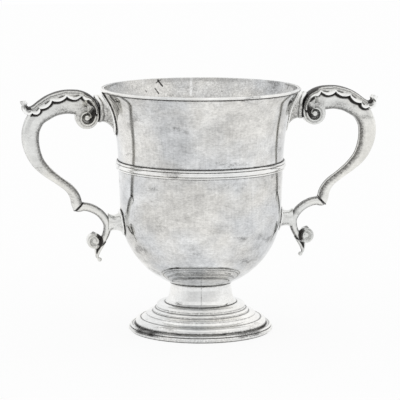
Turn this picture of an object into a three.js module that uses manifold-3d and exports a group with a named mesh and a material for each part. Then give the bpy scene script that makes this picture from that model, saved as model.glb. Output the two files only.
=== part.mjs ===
// A two-handled silver cup on a stepped pedestal foot, in millimetres with +Z up.
// The origin is the centre of the foot's underside, and the handles lie along X.
// Handles and sockets are drawn in the plane Y = 0 as (distance from the cup's axis, height).
import * as THREE from "three";
import { mergeVertices } from "three/addons/utils/BufferGeometryUtils.js";
import Module from "manifold-3d";

const wasm = await Module();
wasm.setup();

// Joints and facets
const solderGap = 0.3; // room for solder between pieces that are made apart
const turnedSides = 36; // facets round every turned piece
const curveSteps = 3; // straight runs in one short curve of a moulding

// Foot rim, the heavy ring that the cup stands on
const rimRingWidth = 6.4;
const rimProjection = 4.5; // how far the ring stands out past the dome's edge
const lowerBeadHeight = 2.9;
const upperBeadHeight = 1.3;
const beadStep = 1.3; // how far each bead of the ring stands back from the one below
const beadSwell = 0.55;

// Foot dome, from its edge up to the ledge under the stem
const footSheet = 1.4;
const domeWidth = 3.1;
const domeHeight = 3.4;
const domeSwell = 0.7;
const coveWidth = 3.6;
const coveHeight = 2.8;
const coveSink = 0.45;
const stepWidth = 4.7; // the broad step above the cove
const stepHeight = 2.9;
const stepSlope = 0.9; // how much of that height the step's tread takes
const beadWidth = 2.1; // the narrow step above it
const beadHeight = 3.6;
const nosing = 0.5; // rounding of the edge of each step
const ledgeWidth = 6.0;
const ledgeRise = 0.6;

// Stem, a hollow spool
const stemSheet = 1.5;
const stemHeight = 12.4;
const stemWaist = 19.3;
const stemBaseFlare = 1.9;
const stemTopFlare = 0.6;
const stemBaseHeight = 2.4; // height of the curve at the stem's base

// Bowl
const bowlSheet = 1.3;
const bowlRadius = 50.0; // at the shoulder, where the round bottom meets the wall
const bowlDepth = 49.0; // of the round bottom
const wallHeight = 28.0; // straight wall above the shoulder
const wallSpread = 1.0; // what the straight wall gains in radius
const lipHeight = 48.2; // flared part above the straight wall
const lipFlare = 9.8; // what the flare gains in radius
const lipStart = 43.0; // how long the flare keeps the wall's direction
const lipEnd = 8.5; // how long it runs upright at the rim

// Rim wire round the lip
const rimWireHeight = 1.7;
const rimWireDepth = 1.0;

// Girdle, three reeds round the wall
const girdlePlace = 0.53; // share of the way up from the lower to the upper plates
const girdleReeds = [1.4, 2.7, 1.6]; // heights, from the bottom up
const girdleDepths = [1.3, 1.8, 1.5]; // how far each reed stands out from the wall
const reedGroove = 0.5; // how deep the grooves beside the reeds are

// Upper attachment of a handle
const neckSquareness = 2.2; // exponent of the section of both necks and of their plates
const voluteBelowRim = 17.2;
const upperStandoff = 9.6; // from the wall to the volute
const upperPlateHeight = 26.6;
const upperPlateWidth = 13.4;
const upperPlateThickness = 1.2;
const upperNeckHeight = 16.4;
const upperNeckWidth = 10.0;
const upperNeckDrop = 1.8; // from the plate's upper edge to the neck's
const neckBandSwell = 0.5; // the raised band next to the volute
const neckBandWidth = 3.0;
const neckBandRound = 0.2; // share of its width that each side's rounding takes
const plateMargin = 0.8; // what shows of a plate round the foot of its neck
const neckSpread = 0.42; // how far a neck has spread out half way to its plate

// Volute, the spiral end of the grip
const voluteRadius = 7.0;
const voluteEntry = 6.5; // how much wider the spiral is where the grip runs into it
const voluteOpening = 7; // exponent of its opening: the higher, the later it opens
const voluteClosed = 280; // degrees from the grip's entry to where the outline is round
const voluteHalfWidth = 5.7;
const voluteTurns = 1.45; // of the raised spiral line on each face
const voluteLineStart = 0.76; // where that line starts, as a share of the radius
const voluteSink = 1.5; // depth of the channel beside the line
const voluteWall = 0.55; // width of the steep side of that channel
const voluteEyeRadius = 2.0;
const voluteRidgeRise = 0.4;
const eyeRing = 1.35; // radius of the line's inner end, as a share of the eye's

// Shape of the rounded edge and of the eye, for the volute and for the curl alike
const bossEdgeStart = 0.6; // share of the half width where the edge starts to turn in
const bossEdgeInset = 0.94; // radius of the face, as a share of the whole
const eyeCrown = 0.75; // radius of the eye's flat crown, as a share of the eye's
const eyeDrop = 0.3; // how far the crown's edge drops, as a share of the channel's depth
const sinkFade = 0.4; // turns over which the channel runs out at its inner end

// Grip, the large S-scroll, with the half sizes of its section
const gripReach = 34.0; // how far its middle line stands out from the line volute to mitre
const startHalfDepth = 5.3; // inside the volute
const archHalfDepth = 6.7;
const shoulderHalfDepth = 5.4;
const waistHalfDepth = 2.65;
const mitreHalfDepth = 3.8;
const startHalfWidth = 5.3;
const archHalfWidth = 5.4;
const shoulderHalfWidth = 5.2;
const waistHalfWidth = 3.7;
const mitreHalfWidth = 3.9;
const gripSquareness = 2.6; // exponent of the section: 2 is an ellipse
const mitreAngle = 46.5; // degrees that the mitre falls outwards
const mitreTurn = 0.12; // share of a scroll's length over which its rings turn into the mitre

// Leaf cap along the top of the grip
const leafThickness = 1.5;
const leafEdgeThickness = 1.0;
const leafEdgeLift = 0.7;
const leafLobes = 5.7;
const leafFirstLobe = 0.35; // share of the first lobe that the leaf's root shows
const leafLobeWrap = 78; // degrees round the grip's section, at a lobe
const leafNotchWrap = 54; // the same at a notch
const leafRootWrap = 38; // the same at the root
const leafWave = 0.6; // exponent of the wave: under 1, its lobes are round and its notches sharp
const leafRootThickness = 0.6; // share of the thickness that the root has
const leafTipThickness = 0.7; // and the tip
const leafRootLength = 0.2; // share of the leaf's length that the root takes
const leafStartAngle = 158; // degrees round the volute
const leafRootFade = 24; // degrees past the root over which its room in the socket runs out
const leafLeaves = 0.3; // share of the grip's length where the tip leaves it
const leafFree = 0.84; // share of the leaf's length where that is
const leafTipReach = 7.6;
const leafTipRise = 3.7;
const leafTipDip = 0.9; // how far the tip first dips before it curls up
const leafTipDepth = 0.4; // share of the section's depth that the tip keeps
const leafTipWidth = 0.4; // and of its width

// Lower attachment and C-scroll
const lowerBelowShoulder = 6.8; // from the shoulder to the middle of the lower socket
const lowerStandoff = 8.6; // from the wall to the back of the C-scroll
const lowerPlateDiameter = 15.8;
const lowerPlateThickness = 1.1;
const lowerNeckDiameter = 9.6;
const scrollHalfWidth = 3.2;
const mitreOut = 18.0; // from the C-scroll's back to the mitre
const mitreUp = 10.5;
const curlOut = 8.1; // from the C-scroll's back to the curl's eye
const curlDown = 11.0;
const curlRadius = 4.8;
const curlHalfWidth = 3.5;
const curlEyeRadius = 1.4;
const curlStartAngle = 200; // where the arm runs into the curl, in degrees
const curlTurns = 1.2;
const curlRelief = 0.7; // share of the volute's relief that the curl has
const curlKnobRadius = 1.3;
const curlKnobPlace = 4.3; // from the curl's eye
const curlKnobAngle = 82; // degrees round the eye
const scrollHalfDepth = 2.4; // at the C-scroll's back

// Drop under the curl
const dropOut = 3.4; // from the C-scroll's back to the drop's upper end
const dropDown = 12.4;
const dropLength = 10.6;
const dropHalfDepth = 1.2;
const dropHalfWidth = 1.8;
const dropTipLength = 5.6; // of the short leaf beside it
const dropTipShare = 0.6; // of the strip's width that the leaf has
const dropTaper = 0.45; // share of its section that the strip loses on its way
const dropBeadRadius = 1.4;

// Heights that follow from the sizes above
const rimRingTop = lowerBeadHeight + upperBeadHeight;
const domeEdgeZ = rimRingTop + solderGap;
const creaseZ = domeEdgeZ + domeHeight;
const coveTopZ = creaseZ + coveHeight;
const beadEdgeZ = coveTopZ + stepHeight;
const ledgeZ = beadEdgeZ + beadHeight;
const stemBaseZ = ledgeZ + ledgeRise + solderGap;
const stemTopZ = stemBaseZ + stemHeight;
const stemTopRadius = stemWaist + stemTopFlare;
const bottomZ = stemTopZ + solderGap - bowlDepth * (1 - Math.sqrt(1 - (stemTopRadius / bowlRadius) ** 2));
const shoulderZ = bottomZ + bowlDepth;
const flareZ = shoulderZ + wallHeight;
const rimZ = flareZ + lipHeight;
const upperPlateTop = rimZ - rimWireHeight - solderGap;
const upperPlateLow = upperPlateTop - upperPlateHeight;
const lowerPlateTop = shoulderZ - lowerBelowShoulder + lowerPlateDiameter / 2;

// Radii of the foot that follow from the stem outwards
const stemBaseRadius = stemWaist + stemBaseFlare;
const ledgeRadius = stemBaseRadius + ledgeWidth;
const beadRadius = ledgeRadius + beadWidth;
const coveTopRadius = beadRadius + stepWidth;
const creaseRadius = coveTopRadius + coveWidth;
const domeEdgeRadius = creaseRadius + domeWidth;
const footRadius = domeEdgeRadius + rimProjection;

const degrees = Math.PI / 180;
const fullTurn = 360;
const upwards = 90; // the angle of the top of a volute, in degrees

// A profile through stations [radius, height, swell]. The stretch that leads to a station swells
// by that much to the right of its direction, which is away from the metal, or sinks if negative.
function moulding(stations) {
  const line = [];
  stations.forEach(([r, z, swell = 0], k) => {
    if (swell) {
      const from = new THREE.Vector2(...stations[k - 1]);
      const to = new THREE.Vector2(r, z);
      const right = new THREE.Vector2(z - from.y, from.x - r).normalize();
      const middle = from.clone().lerp(to, 0.5).addScaledVector(right, 2 * swell);
      const curve = new THREE.QuadraticBezierCurve(from, middle, to);
      curve.getPoints(curveSteps).slice(1, -1).forEach((p) => line.push([p.x, p.y]));
    }
    line.push([r, z]);
  });
  return line;
}

// The line moved sideways, to its right if the distance is positive.
function offsetLine(line, distance) {
  return line.map(([r, z], k) => {
    const [r0, z0] = line[Math.max(k - 1, 0)];
    const [r1, z1] = line[Math.min(k + 1, line.length - 1)];
    const length = Math.hypot(r1 - r0, z1 - z0);
    return [r + (distance * (z1 - z0)) / length, z - (distance * (r1 - r0)) / length];
  });
}

// A turned piece, whose profile goes up its outside and comes down its inside.
function turned(profile) {
  const points = profile.map(([r, z]) => new THREE.Vector2(r, z));
  return new THREE.LatheGeometry(points, turnedSides).rotateX(Math.PI / 2);
}

function turnedRing(profile) {
  return turned([...profile, profile[0]]);
}

// A closed mesh from corners and triangles, with its faces turned outwards.
function closedMesh(corners, triangles) {
  const [a, b, c] = [new THREE.Vector3(), new THREE.Vector3(), new THREE.Vector3()];
  const volume = triangles.reduce((sum, [i, j, k]) => {
    a.copy(corners[i]);
    b.copy(corners[j]);
    c.copy(corners[k]);
    return sum + a.dot(b.cross(c));
  }, 0);
  const facing = volume < 0 ? triangles.map(([i, j, k]) => [i, k, j]) : triangles;
  const geometry = new THREE.BufferGeometry().setFromPoints(corners);
  geometry.setIndex(facing.flat());
  return geometry;
}

// Rings of equal length joined into one solid with a flat end at each side.
function loft(rings) {
  const count = rings[0].length;
  const triangles = [];
  for (let k = 0; k + 1 < rings.length; k++) {
    for (let i = 0; i < count; i++) {
      const [a, b] = [k * count + i, k * count + ((i + 1) % count)];
      triangles.push([a, b, b + count], [a, b + count, a + count]);
    }
  }
  const last = (rings.length - 1) * count;
  for (let i = 1; i + 1 < count; i++) {
    triangles.push([0, i + 1, i], [last, last + i, last + i + 1]);
  }
  return closedMesh(rings.flat(), triangles);
}

function solidFrom(geometry) {
  const bare = geometry.clone();
  bare.deleteAttribute("normal");
  bare.deleteAttribute("uv");
  const merged = mergeVertices(bare);
  const vertProperties = merged.attributes.position.array;
  const triVerts = Uint32Array.from(merged.index.array);
  return new wasm.Manifold(new wasm.Mesh({ numProp: 3, vertProperties, triVerts }));
}

function geometryFrom(solid) {
  const { vertProperties, triVerts } = solid.getMesh();
  const geometry = new THREE.BufferGeometry();
  geometry.setAttribute("position", new THREE.BufferAttribute(vertProperties, 3));
  geometry.setIndex(new THREE.BufferAttribute(triVerts, 1));
  return geometry;
}

// A size that changes smoothly between stations [share of the length, size].
function sizeAlong(stations, share) {
  const next = Math.max(1, stations.findIndex(([at]) => at >= share));
  const [[at0, size0], [at1, size1]] = [stations[next - 1], stations[next]];
  return THREE.MathUtils.lerp(size0, size1, THREE.MathUtils.smoothstep(share, at0, at1));
}

// A point of a squarish section, as shares of its half depth and half width.
function sectionPoint(angle, squareness) {
  const round = (value) => Math.sign(value) * Math.abs(value) ** (2 / squareness);
  return [round(Math.cos(angle)), round(Math.sin(angle))];
}

// The points of a whole squarish section.
function sectionPoints(sides, squareness) {
  const turn = (2 * Math.PI) / sides;
  return Array.from({ length: sides }, (_, i) => sectionPoint(i * turn, squareness));
}

// A point beside a line in the handle's plane: up along the line's normal, across along Y.
function besideLine(point, normal, up, across) {
  return new THREE.Vector3(point.x + normal.x * up, across, point.y + normal.y * up);
}

// The left-hand normal of a plane curve.
function normalAt(curve, share) {
  const tangent = curve.getTangentAt(share);
  return new THREE.Vector2(-tangent.y, tangent.x);
}

// Bowl

function bowlOutline() {
  const bottom = [];
  const bottomSteps = 8;
  for (let k = 0; k < bottomSteps; k++) {
    const angle = ((k / bottomSteps) * Math.PI) / 2;
    bottom.push([bowlRadius * Math.sin(angle), shoulderZ - bowlDepth * Math.cos(angle)]);
  }
  const wallTop = bowlRadius + wallSpread;
  const lip = wallTop + lipFlare;
  const flare = new THREE.CubicBezierCurve(
    new THREE.Vector2(wallTop, flareZ),
    new THREE.Vector2(wallTop + (lipStart * wallSpread) / wallHeight, flareZ + lipStart),
    new THREE.Vector2(lip, rimZ - lipEnd),
    new THREE.Vector2(lip, rimZ),
  );
  return [...bottom, [bowlRadius, shoulderZ], ...flare.getPoints(8).map((p) => [p.x, p.y])];
}

const outline = bowlOutline();

// The outside radius of the bowl at a height, by its facets' corners.
function wallRadius(z) {
  const k = Math.max(1, outline.findIndex(([, height]) => height >= z));
  const [[r0, z0], [r1, z1]] = [outline[k - 1], outline[k]];
  return r0 + ((r1 - r0) * (z - z0)) / (z1 - z0);
}

function bowl() {
  const inside = offsetLine(outline, -bowlSheet).reverse();
  inside[0][1] = rimZ;
  inside[inside.length - 1][0] = 0;
  return turned([...outline, ...inside]);
}

// The space that the bowl fills with a margin round it, for cutting seats on the wall.
function bowlSpace(margin) {
  const line = offsetLine(outline, margin);
  line[0][0] = 0;
  const top = rimZ + lipHeight;
  return solidFrom(turned([...line, [line[line.length - 1][0], top], [0, top]]));
}

function rimWire() {
  const inner = bowlRadius + wallSpread + lipFlare + solderGap;
  const low = rimZ - rimWireHeight;
  const middle = (low + rimZ) / 2;
  const outer = inner + rimWireDepth;
  const shoulder = inner + rimWireDepth / 2;
  return turnedRing([
    [inner, low],
    [shoulder, low],
    [outer, middle],
    [shoulder, rimZ],
    [inner, rimZ],
  ]);
}

function girdle() {
  let z = THREE.MathUtils.lerp(lowerPlateTop, upperPlateLow, girdlePlace);
  const stations = [[wallRadius(z) + solderGap, z]];
  girdleReeds.forEach((height, k) => {
    const groove = wallRadius(z) + girdleDepths[k] - reedGroove;
    stations.push([groove, z]);
    z += height;
    stations.push([groove, z, reedGroove]);
  });
  stations.push([wallRadius(z) + solderGap, z]);
  return turnedRing(moulding(stations));
}

// Foot

function footRim() {
  const inner = footRadius - rimRingWidth;
  const seat = domeEdgeRadius + solderGap;
  return turnedRing(
    moulding([
      [inner, 0],
      [footRadius - beadStep, 0],
      [footRadius - beadSwell, lowerBeadHeight, beadSwell * 2],
      [footRadius - beadStep - beadSwell, lowerBeadHeight],
      [footRadius - beadStep * 2, rimRingTop, beadSwell],
      [seat, rimRingTop],
      [inner, rimRingTop],
    ]),
  );
}

function footDome() {
  const treadZ = beadEdgeZ - stepHeight + stepSlope;
  const riserZ = ledgeZ - beadHeight + nosing;
  const outside = moulding([
    [domeEdgeRadius, domeEdgeZ],
    [creaseRadius, creaseZ, domeSwell],
    [coveTopRadius, coveTopZ - nosing, -coveSink],
    [coveTopRadius - nosing, coveTopZ],
    [beadRadius + nosing, treadZ],
    [beadRadius, beadEdgeZ - nosing],
    [beadRadius - nosing, riserZ],
    [ledgeRadius, riserZ + nosing],
    [ledgeRadius, ledgeZ - nosing],
    [ledgeRadius - nosing, ledgeZ],
    [stemBaseRadius, ledgeZ + ledgeRise],
    [stemWaist - stemSheet, ledgeZ + ledgeRise],
  ]);
  const corners = [
    [domeEdgeRadius, domeEdgeZ],
    [creaseRadius, creaseZ],
    [coveTopRadius, coveTopZ],
    [beadRadius, beadEdgeZ],
    [ledgeRadius, ledgeZ],
    [stemBaseRadius, ledgeZ + ledgeRise],
    [stemWaist - stemSheet, ledgeZ + ledgeRise],
  ];
  const inside = offsetLine(corners, -footSheet).reverse();
  inside[inside.length - 1][1] = domeEdgeZ;
  return turnedRing([...outside, ...inside]);
}

function footStem() {
  const bore = stemWaist - stemSheet;
  const waistZ = stemBaseZ + stemHeight / 2;
  const seatZ = (r) => shoulderZ - bowlDepth * Math.sqrt(1 - (r / bowlRadius) ** 2) - solderGap;
  return turnedRing(
    moulding([
      [bore, stemBaseZ],
      [stemBaseRadius, stemBaseZ],
      [stemWaist + stemBaseFlare / 4, stemBaseZ + stemBaseHeight, -stemBaseFlare / 6],
      [stemWaist, waistZ],
      [stemTopRadius, stemTopZ, -stemTopFlare / 4],
      [bore, seatZ(bore)],
    ]),
  );
}

// Lines of a handle

const voluteCentre = new THREE.Vector2(
  wallRadius(rimZ - voluteBelowRim) + upperStandoff + voluteRadius,
  rimZ - voluteBelowRim,
);
const lowerBack = new THREE.Vector2(
  wallRadius(shoulderZ - lowerBelowShoulder) + lowerStandoff,
  shoulderZ - lowerBelowShoulder,
);
const mitre = lowerBack.clone().add(new THREE.Vector2(mitreOut, mitreUp));
const mitreSide = new THREE.Vector2(Math.cos(mitreAngle * degrees), -Math.sin(mitreAngle * degrees));
const curlCentre = lowerBack.clone().add(new THREE.Vector2(curlOut, -curlDown));

// Middle line of the grip, as [share of the drop from volute to mitre, share of the reach]
const gripStations = [
  [-0.128, -0.018],
  [-0.141, 0.108],
  [-0.155, 0.239],
  [-0.159, 0.402],
  [-0.133, 0.592],
  [-0.08, 0.748],
  [-0.004, 0.895],
  [0.116, 0.975],
  [0.239, 0.975],
  [0.367, 0.915],
  [0.495, 0.797],
  [0.602, 0.62],
  [0.702, 0.397],
  [0.792, 0.193],
  [0.881, 0.08],
  [0.958, 0.035],
  [1, 0],
];

function gripLine() {
  const points = gripStations.map(([drop, out]) => {
    const onAxis = voluteCentre.clone().lerp(mitre, drop);
    return new THREE.Vector2(onAxis.x + out * gripReach, onAxis.y);
  });
  return new THREE.SplineCurve(points);
}

const grip = gripLine();

// Half the grip's depth and half its width at a share of its length.
function gripSection(share) {
  const depths = [startHalfDepth, archHalfDepth, shoulderHalfDepth, waistHalfDepth, mitreHalfDepth];
  const widths = [startHalfWidth, archHalfWidth, shoulderHalfWidth, waistHalfWidth, mitreHalfWidth];
  const places = [0, 0.06, 0.42, 0.8, 1];
  return [depths, widths].map((sizes) => sizeAlong(places.map((at, k) => [at, sizes[k]]), share));
}

// The normal of the grip's rings, which turns into the mitre at the lower end.
function gripNormal(share) {
  const turn = THREE.MathUtils.smoothstep(share, 1 - mitreTurn, 1);
  return normalAt(grip, share).lerp(mitreSide, turn).normalize();
}

// Radius of the volute's outline at an angle from the top on, wide where the grip runs in.
function voluteOutline(angle) {
  const open = THREE.MathUtils.clamp(1 - (angle - upwards) / voluteClosed, 0, 1);
  return voluteRadius + voluteEntry * open ** voluteOpening;
}

// Triangles between two neighbouring chains of points, taken in the order of the points' places.
function zip(chain, next, triangles) {
  let [i, j] = [0, 0];
  while (i + 1 < chain.length || j + 1 < next.length) {
    const here = i + 1 < chain.length ? chain[i + 1].place : Infinity;
    const there = j + 1 < next.length ? next[j + 1].place : Infinity;
    if (here <= there) {
      triangles.push([chain[i].index, chain[i + 1].index, next[j].index]);
      i += 1;
    } else {
      triangles.push([chain[i].index, next[j + 1].index, next[j].index]);
      j += 1;
    }
  }
}

// One half of a spiral boss, flat at Y = 0: a drum whose face carries a raised line that winds
// inwards from the start angle, with a channel beside it and a domed eye in the middle.
function spiralBoss(boss) {
  const { centre, start, turns, steps, side, grow } = boss;
  const { outlineRadius, lineRadius, halfWidth, eyeRadius, sink, wall, rise } = boss;
  const corners = [];
  const at = (angle, radius, y, place = 0) => {
    const x = centre.x + radius * Math.cos(angle * degrees);
    const z = centre.y + radius * Math.sin(angle * degrees);
    return { index: corners.push(new THREE.Vector3(x, side * y, z)) - 1, place };
  };
  const face = halfWidth + rise + grow;
  const eye = at(0, 0, face);
  const base = at(0, 0, 0);
  const chains = [];
  for (let k = 0; k < steps; k++) {
    const angle = start + (k / steps) * fullTurn;
    const outer = outlineRadius(angle) + grow;
    const chain = [
      at(angle, outer, 0, -3),
      at(angle, outer, halfWidth * bossEdgeStart, -2),
      at(angle, outer * bossEdgeInset, halfWidth + grow, -1),
    ];
    for (let turn = k / steps; turn <= turns; turn += 1) {
      const line = lineRadius(turn);
      const depth = sink * THREE.MathUtils.smoothstep(turns - turn, 0, sinkFade);
      chain.push(at(angle, line, face, turn), at(angle, line - wall, face - depth, turn + 0.5));
    }
    chain.push(at(angle, eyeRadius * eyeCrown, face - sink * eyeDrop, turns + 1));
    chains.push(chain);
  }
  const triangles = [];
  chains.forEach((chain, k) => {
    const next = chains[(k + 1) % steps];
    zip(chain, next, triangles);
    triangles.push([chain.at(-1).index, eye.index, next.at(-1).index]);
    triangles.push([chain[0].index, next[0].index, base.index]);
  });
  return closedMesh(corners, triangles);
}

// Radius of the volute's raised line after a number of turns.
function voluteLine(turn) {
  const wound = Math.min(turn / voluteTurns, 1);
  const radius = THREE.MathUtils.lerp(voluteRadius * voluteLineStart, voluteEyeRadius * eyeRing, wound);
  return radius + voluteOutline(upwards + turn * fullTurn) - voluteRadius;
}

// Handle pieces

// One half of the grip on the side of the seam given as 1 or -1, made larger all round if asked.
function gripHalfSolid(side, grow) {
  const steps = 22;
  const angles = [0, 24, 48, 72, 98, 126, 154, 180];
  const rings = [];
  for (let k = 0; k <= steps; k++) {
    const share = k / steps;
    const [point, normal] = [grip.getPointAt(share), gripNormal(share)];
    const [deep, wide] = gripSection(share).map((half) => half + grow);
    rings.push(
      angles.map((angle) => {
        const [up, across] = sectionPoint(angle * degrees, gripSquareness);
        const onSeam = angle === angles[0] || angle === angles.at(-1);
        return besideLine(point, normal, up * deep, onSeam ? 0 : side * across * wide);
      }),
    );
  }
  const boss = spiralBoss({
    centre: voluteCentre,
    start: upwards,
    turns: voluteTurns,
    outlineRadius: voluteOutline,
    lineRadius: voluteLine,
    halfWidth: voluteHalfWidth,
    eyeRadius: voluteEyeRadius,
    sink: grow ? 0 : voluteSink,
    wall: voluteWall,
    rise: voluteRidgeRise,
    side,
    grow,
    steps: 16,
  });
  return solidFrom(loft(rings)).add(solidFrom(boss));
}

// The line under the leaf: round the volute, along the grip, and out to the curled tip.
function leafLine() {
  const points = [];
  for (const turn of [0, 0.3, 0.6, 0.9]) {
    const angle = THREE.MathUtils.lerp(leafStartAngle, upwards, turn);
    const radius = voluteOutline(angle) + solderGap;
    const [x, z] = [Math.cos(angle * degrees) * radius, Math.sin(angle * degrees) * radius];
    points.push(new THREE.Vector2(voluteCentre.x + x, voluteCentre.y + z));
  }
  const onGrip = 6;
  const firstOnGrip = 0.06;
  for (let k = 0; k <= onGrip; k++) {
    const share = THREE.MathUtils.lerp(firstOnGrip, leafLeaves, k / onGrip);
    const up = gripSection(share)[0] + solderGap;
    points.push(grip.getPointAt(share).addScaledVector(gripNormal(share), up));
  }
  const leave = points.at(-1);
  points.push(
    new THREE.Vector2(leave.x + leafTipReach * 0.45, leave.y - leafTipDip),
    new THREE.Vector2(leave.x + leafTipReach * 0.8, leave.y + leafTipRise * 0.1),
    new THREE.Vector2(leave.x + leafTipReach, leave.y + leafTipRise),
  );
  return new THREE.SplineCurve(points);
}

// How far round the section the leaf's waved edge comes, in radians. It draws in at the root.
function leafWrap(share) {
  const wave = Math.abs(Math.sin(Math.PI * (leafLobes * share - leafFirstLobe))) ** leafWave;
  const waved = THREE.MathUtils.lerp(leafNotchWrap, leafLobeWrap, wave);
  const past = THREE.MathUtils.smoothstep(share, 0, leafRootLength);
  return THREE.MathUtils.lerp(leafRootWrap, waved, past) * degrees;
}

function leafCap() {
  const { lerp, smoothstep } = THREE.MathUtils;
  const line = leafLine();
  const [lengthSteps, acrossSteps] = [27, 4];
  const seated = solderGap * 2; // how far the raw leaf sinks in before it is cut to its seat
  const volutePart = 5; // exponent of the section over the volute, whose sides are flat
  const [inner, outer] = [[], []];
  for (let i = 0; i <= lengthSteps; i++) {
    const share = i / lengthSteps;
    const [point, normal] = [line.getPointAt(share), normalAt(line, share)];
    const onLeaf = Math.min(share / leafFree, 1);
    const free = smoothstep(share, leafFree, 1);
    const [gripDeep, gripWide] = gripSection(onLeaf * leafLeaves);
    const onVolute = 1 - smoothstep(point.x, voluteCentre.x, voluteCentre.x + voluteRadius);
    const under = lerp(gripWide, voluteHalfWidth + voluteRidgeRise, onVolute);
    const deep = (gripDeep + solderGap) * lerp(1, leafTipDepth, free);
    const wide = (under + solderGap) * lerp(1, leafTipWidth, free);
    const squareness = lerp(gripSquareness, volutePart, onVolute);
    const wrap = leafWrap(onLeaf);
    const root = lerp(leafRootThickness, 1, smoothstep(share, 0, leafRootLength));
    for (let j = 0; j <= acrossSteps; j++) {
      const side = (2 * j) / acrossSteps - 1;
      const angle = side * wrap;
      const [up, across] = sectionPoint(angle, squareness);
      const edge = Math.abs(side) ** 3;
      const lift = leafEdgeLift * edge * (1 - onVolute);
      const sunk = lift - seated * (1 - edge) * (1 - free);
      const full = lerp(leafThickness, leafEdgeThickness, edge);
      const raised = lift + full * root * lerp(1, leafTipThickness, free);
      for (const [list, out] of [[inner, sunk], [outer, raised]]) {
        const rise = (up - 1) * deep + out * Math.cos(angle);
        list.push(besideLine(point, normal, rise, across * wide + out * Math.sin(angle)));
      }
    }
  }
  const raw = solidFrom(shell(inner, outer, lengthSteps, acrossSteps));
  const seat = gripHalfSolid(1, solderGap).add(gripHalfSolid(-1, solderGap));
  return geometryFrom(largestPiece(raw.subtract(seat)));
}

// A thin solid between two grids of points, closed round its edges.
function shell(inner, outer, lengthSteps, acrossSteps) {
  const row = acrossSteps + 1;
  const under = inner.length;
  const triangles = [];
  const quad = (a, b, c, d) => triangles.push([a, b, c], [a, c, d]);
  for (let i = 0; i < lengthSteps; i++) {
    for (let j = 0; j < acrossSteps; j++) {
      const a = i * row + j;
      quad(a, a + 1, a + row + 1, a + row);
      quad(under + a, under + a + row, under + a + row + 1, under + a + 1);
    }
    const [left, right] = [i * row, i * row + acrossSteps];
    quad(left, left + row, under + left + row, under + left);
    quad(right, under + right, under + right + row, right + row);
  }
  const end = lengthSteps * row;
  for (let j = 0; j < acrossSteps; j++) {
    quad(j, under + j, under + j + 1, j + 1);
    quad(end + j, end + j + 1, under + end + j + 1, under + end + j);
  }
  return closedMesh([...inner, ...outer], triangles);
}

// Middle line of the C-scroll, from its back, as shares of the mitre's distance and of the curl's
// depth below it, with half the depth of the section as a share of the largest.
const scrollStations = [
  [0.8, 0.91, 0.79],
  [0.605, 0.873, 0.67],
  [0.345, 0.69, 0.71],
  [0.155, 0.445, 0.83],
  [0.022, 0.027, 0.92],
  [0, -0.364, 1],
  [0.055, -0.736, 1],
  [0.183, -1.073, 0.92],
  [0.467, -1.282, 0.58],
];

// The whole C-scroll with its curl, made larger all round by the growth given.
function scrollSolid(grow) {
  const start = mitre.clone().addScaledVector(new THREE.Vector2(-mitreSide.y, mitreSide.x), -solderGap);
  const points = [start];
  const depths = [mitreHalfDepth - solderGap];
  scrollStations.forEach(([out, up, half]) => {
    points.push(new THREE.Vector2(lowerBack.x + out * mitreOut, lowerBack.y + up * curlDown));
    depths.push(half * scrollHalfDepth);
  });
  const line = new THREE.SplineCurve(points);
  const [steps, sides] = [18, 8];
  const rings = [];
  for (let k = 0; k <= steps; k++) {
    const share = k / steps;
    const along = share * (depths.length - 1);
    const low = Math.min(Math.floor(along), depths.length - 2);
    const half = THREE.MathUtils.lerp(depths[low], depths[low + 1], along - low) + grow;
    const tangent = line.getTangent(share);
    const normal = new THREE.Vector2(tangent.y, -tangent.x);
    const atMitre = 1 - THREE.MathUtils.smoothstep(share, 0, mitreTurn);
    normal.lerp(mitreSide.clone().negate(), atMitre).normalize();
    const point = line.getPoint(share);
    rings.push(
      sectionPoints(sides, gripSquareness).map(([up, across]) =>
        besideLine(point, normal, up * half, across * (scrollHalfWidth + grow)),
      ),
    );
  }
  const boss = {
    centre: curlCentre,
    start: curlStartAngle,
    turns: curlTurns,
    outlineRadius: () => curlRadius,
    lineRadius: (turn) =>
      THREE.MathUtils.lerp(curlRadius * voluteLineStart, curlEyeRadius * eyeRing, turn / curlTurns),
    halfWidth: curlHalfWidth,
    eyeRadius: curlEyeRadius,
    sink: grow ? 0 : voluteSink * curlRelief,
    wall: voluteWall * curlRelief,
    rise: voluteRidgeRise * curlRelief,
    grow,
    steps: 12,
  };
  const knob = new THREE.SphereGeometry(curlKnobRadius + grow, 8, 5);
  const knobAngle = curlKnobAngle * degrees;
  knob.translate(
    curlCentre.x + curlKnobPlace * Math.cos(knobAngle),
    0,
    curlCentre.y + curlKnobPlace * Math.sin(knobAngle),
  );
  return solidFrom(loft(rings))
    .add(solidFrom(spiralBoss({ ...boss, side: 1 })))
    .add(solidFrom(spiralBoss({ ...boss, side: -1 })))
    .add(solidFrom(knob));
}

// The neck of a socket: rings square to X, as [distance from the axis, low, high, half width].
function neckSolid(stations, sides) {
  const rings = stations.map(([x, low, high, wide]) =>
    sectionPoints(sides, neckSquareness).map(([up, across]) => {
      const z = (low + high) / 2 + (up * (high - low)) / 2;
      return new THREE.Vector3(x, across * wide, z);
    }),
  );
  return solidFrom(loft(rings));
}

// A plate that lies on the wall, from an oval of the given centre height and half sizes.
function wallPlate(centreZ, halfHeight, halfWidth, thickness) {
  const reach = wallRadius(centreZ + halfHeight) * 2;
  const oval = neckSolid(
    [reach, bowlRadius / 2].map((x) => [x, centreZ - halfHeight, centreZ + halfHeight, halfWidth]),
    18,
  );
  return oval.intersect(bowlSpace(solderGap + thickness));
}

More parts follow.
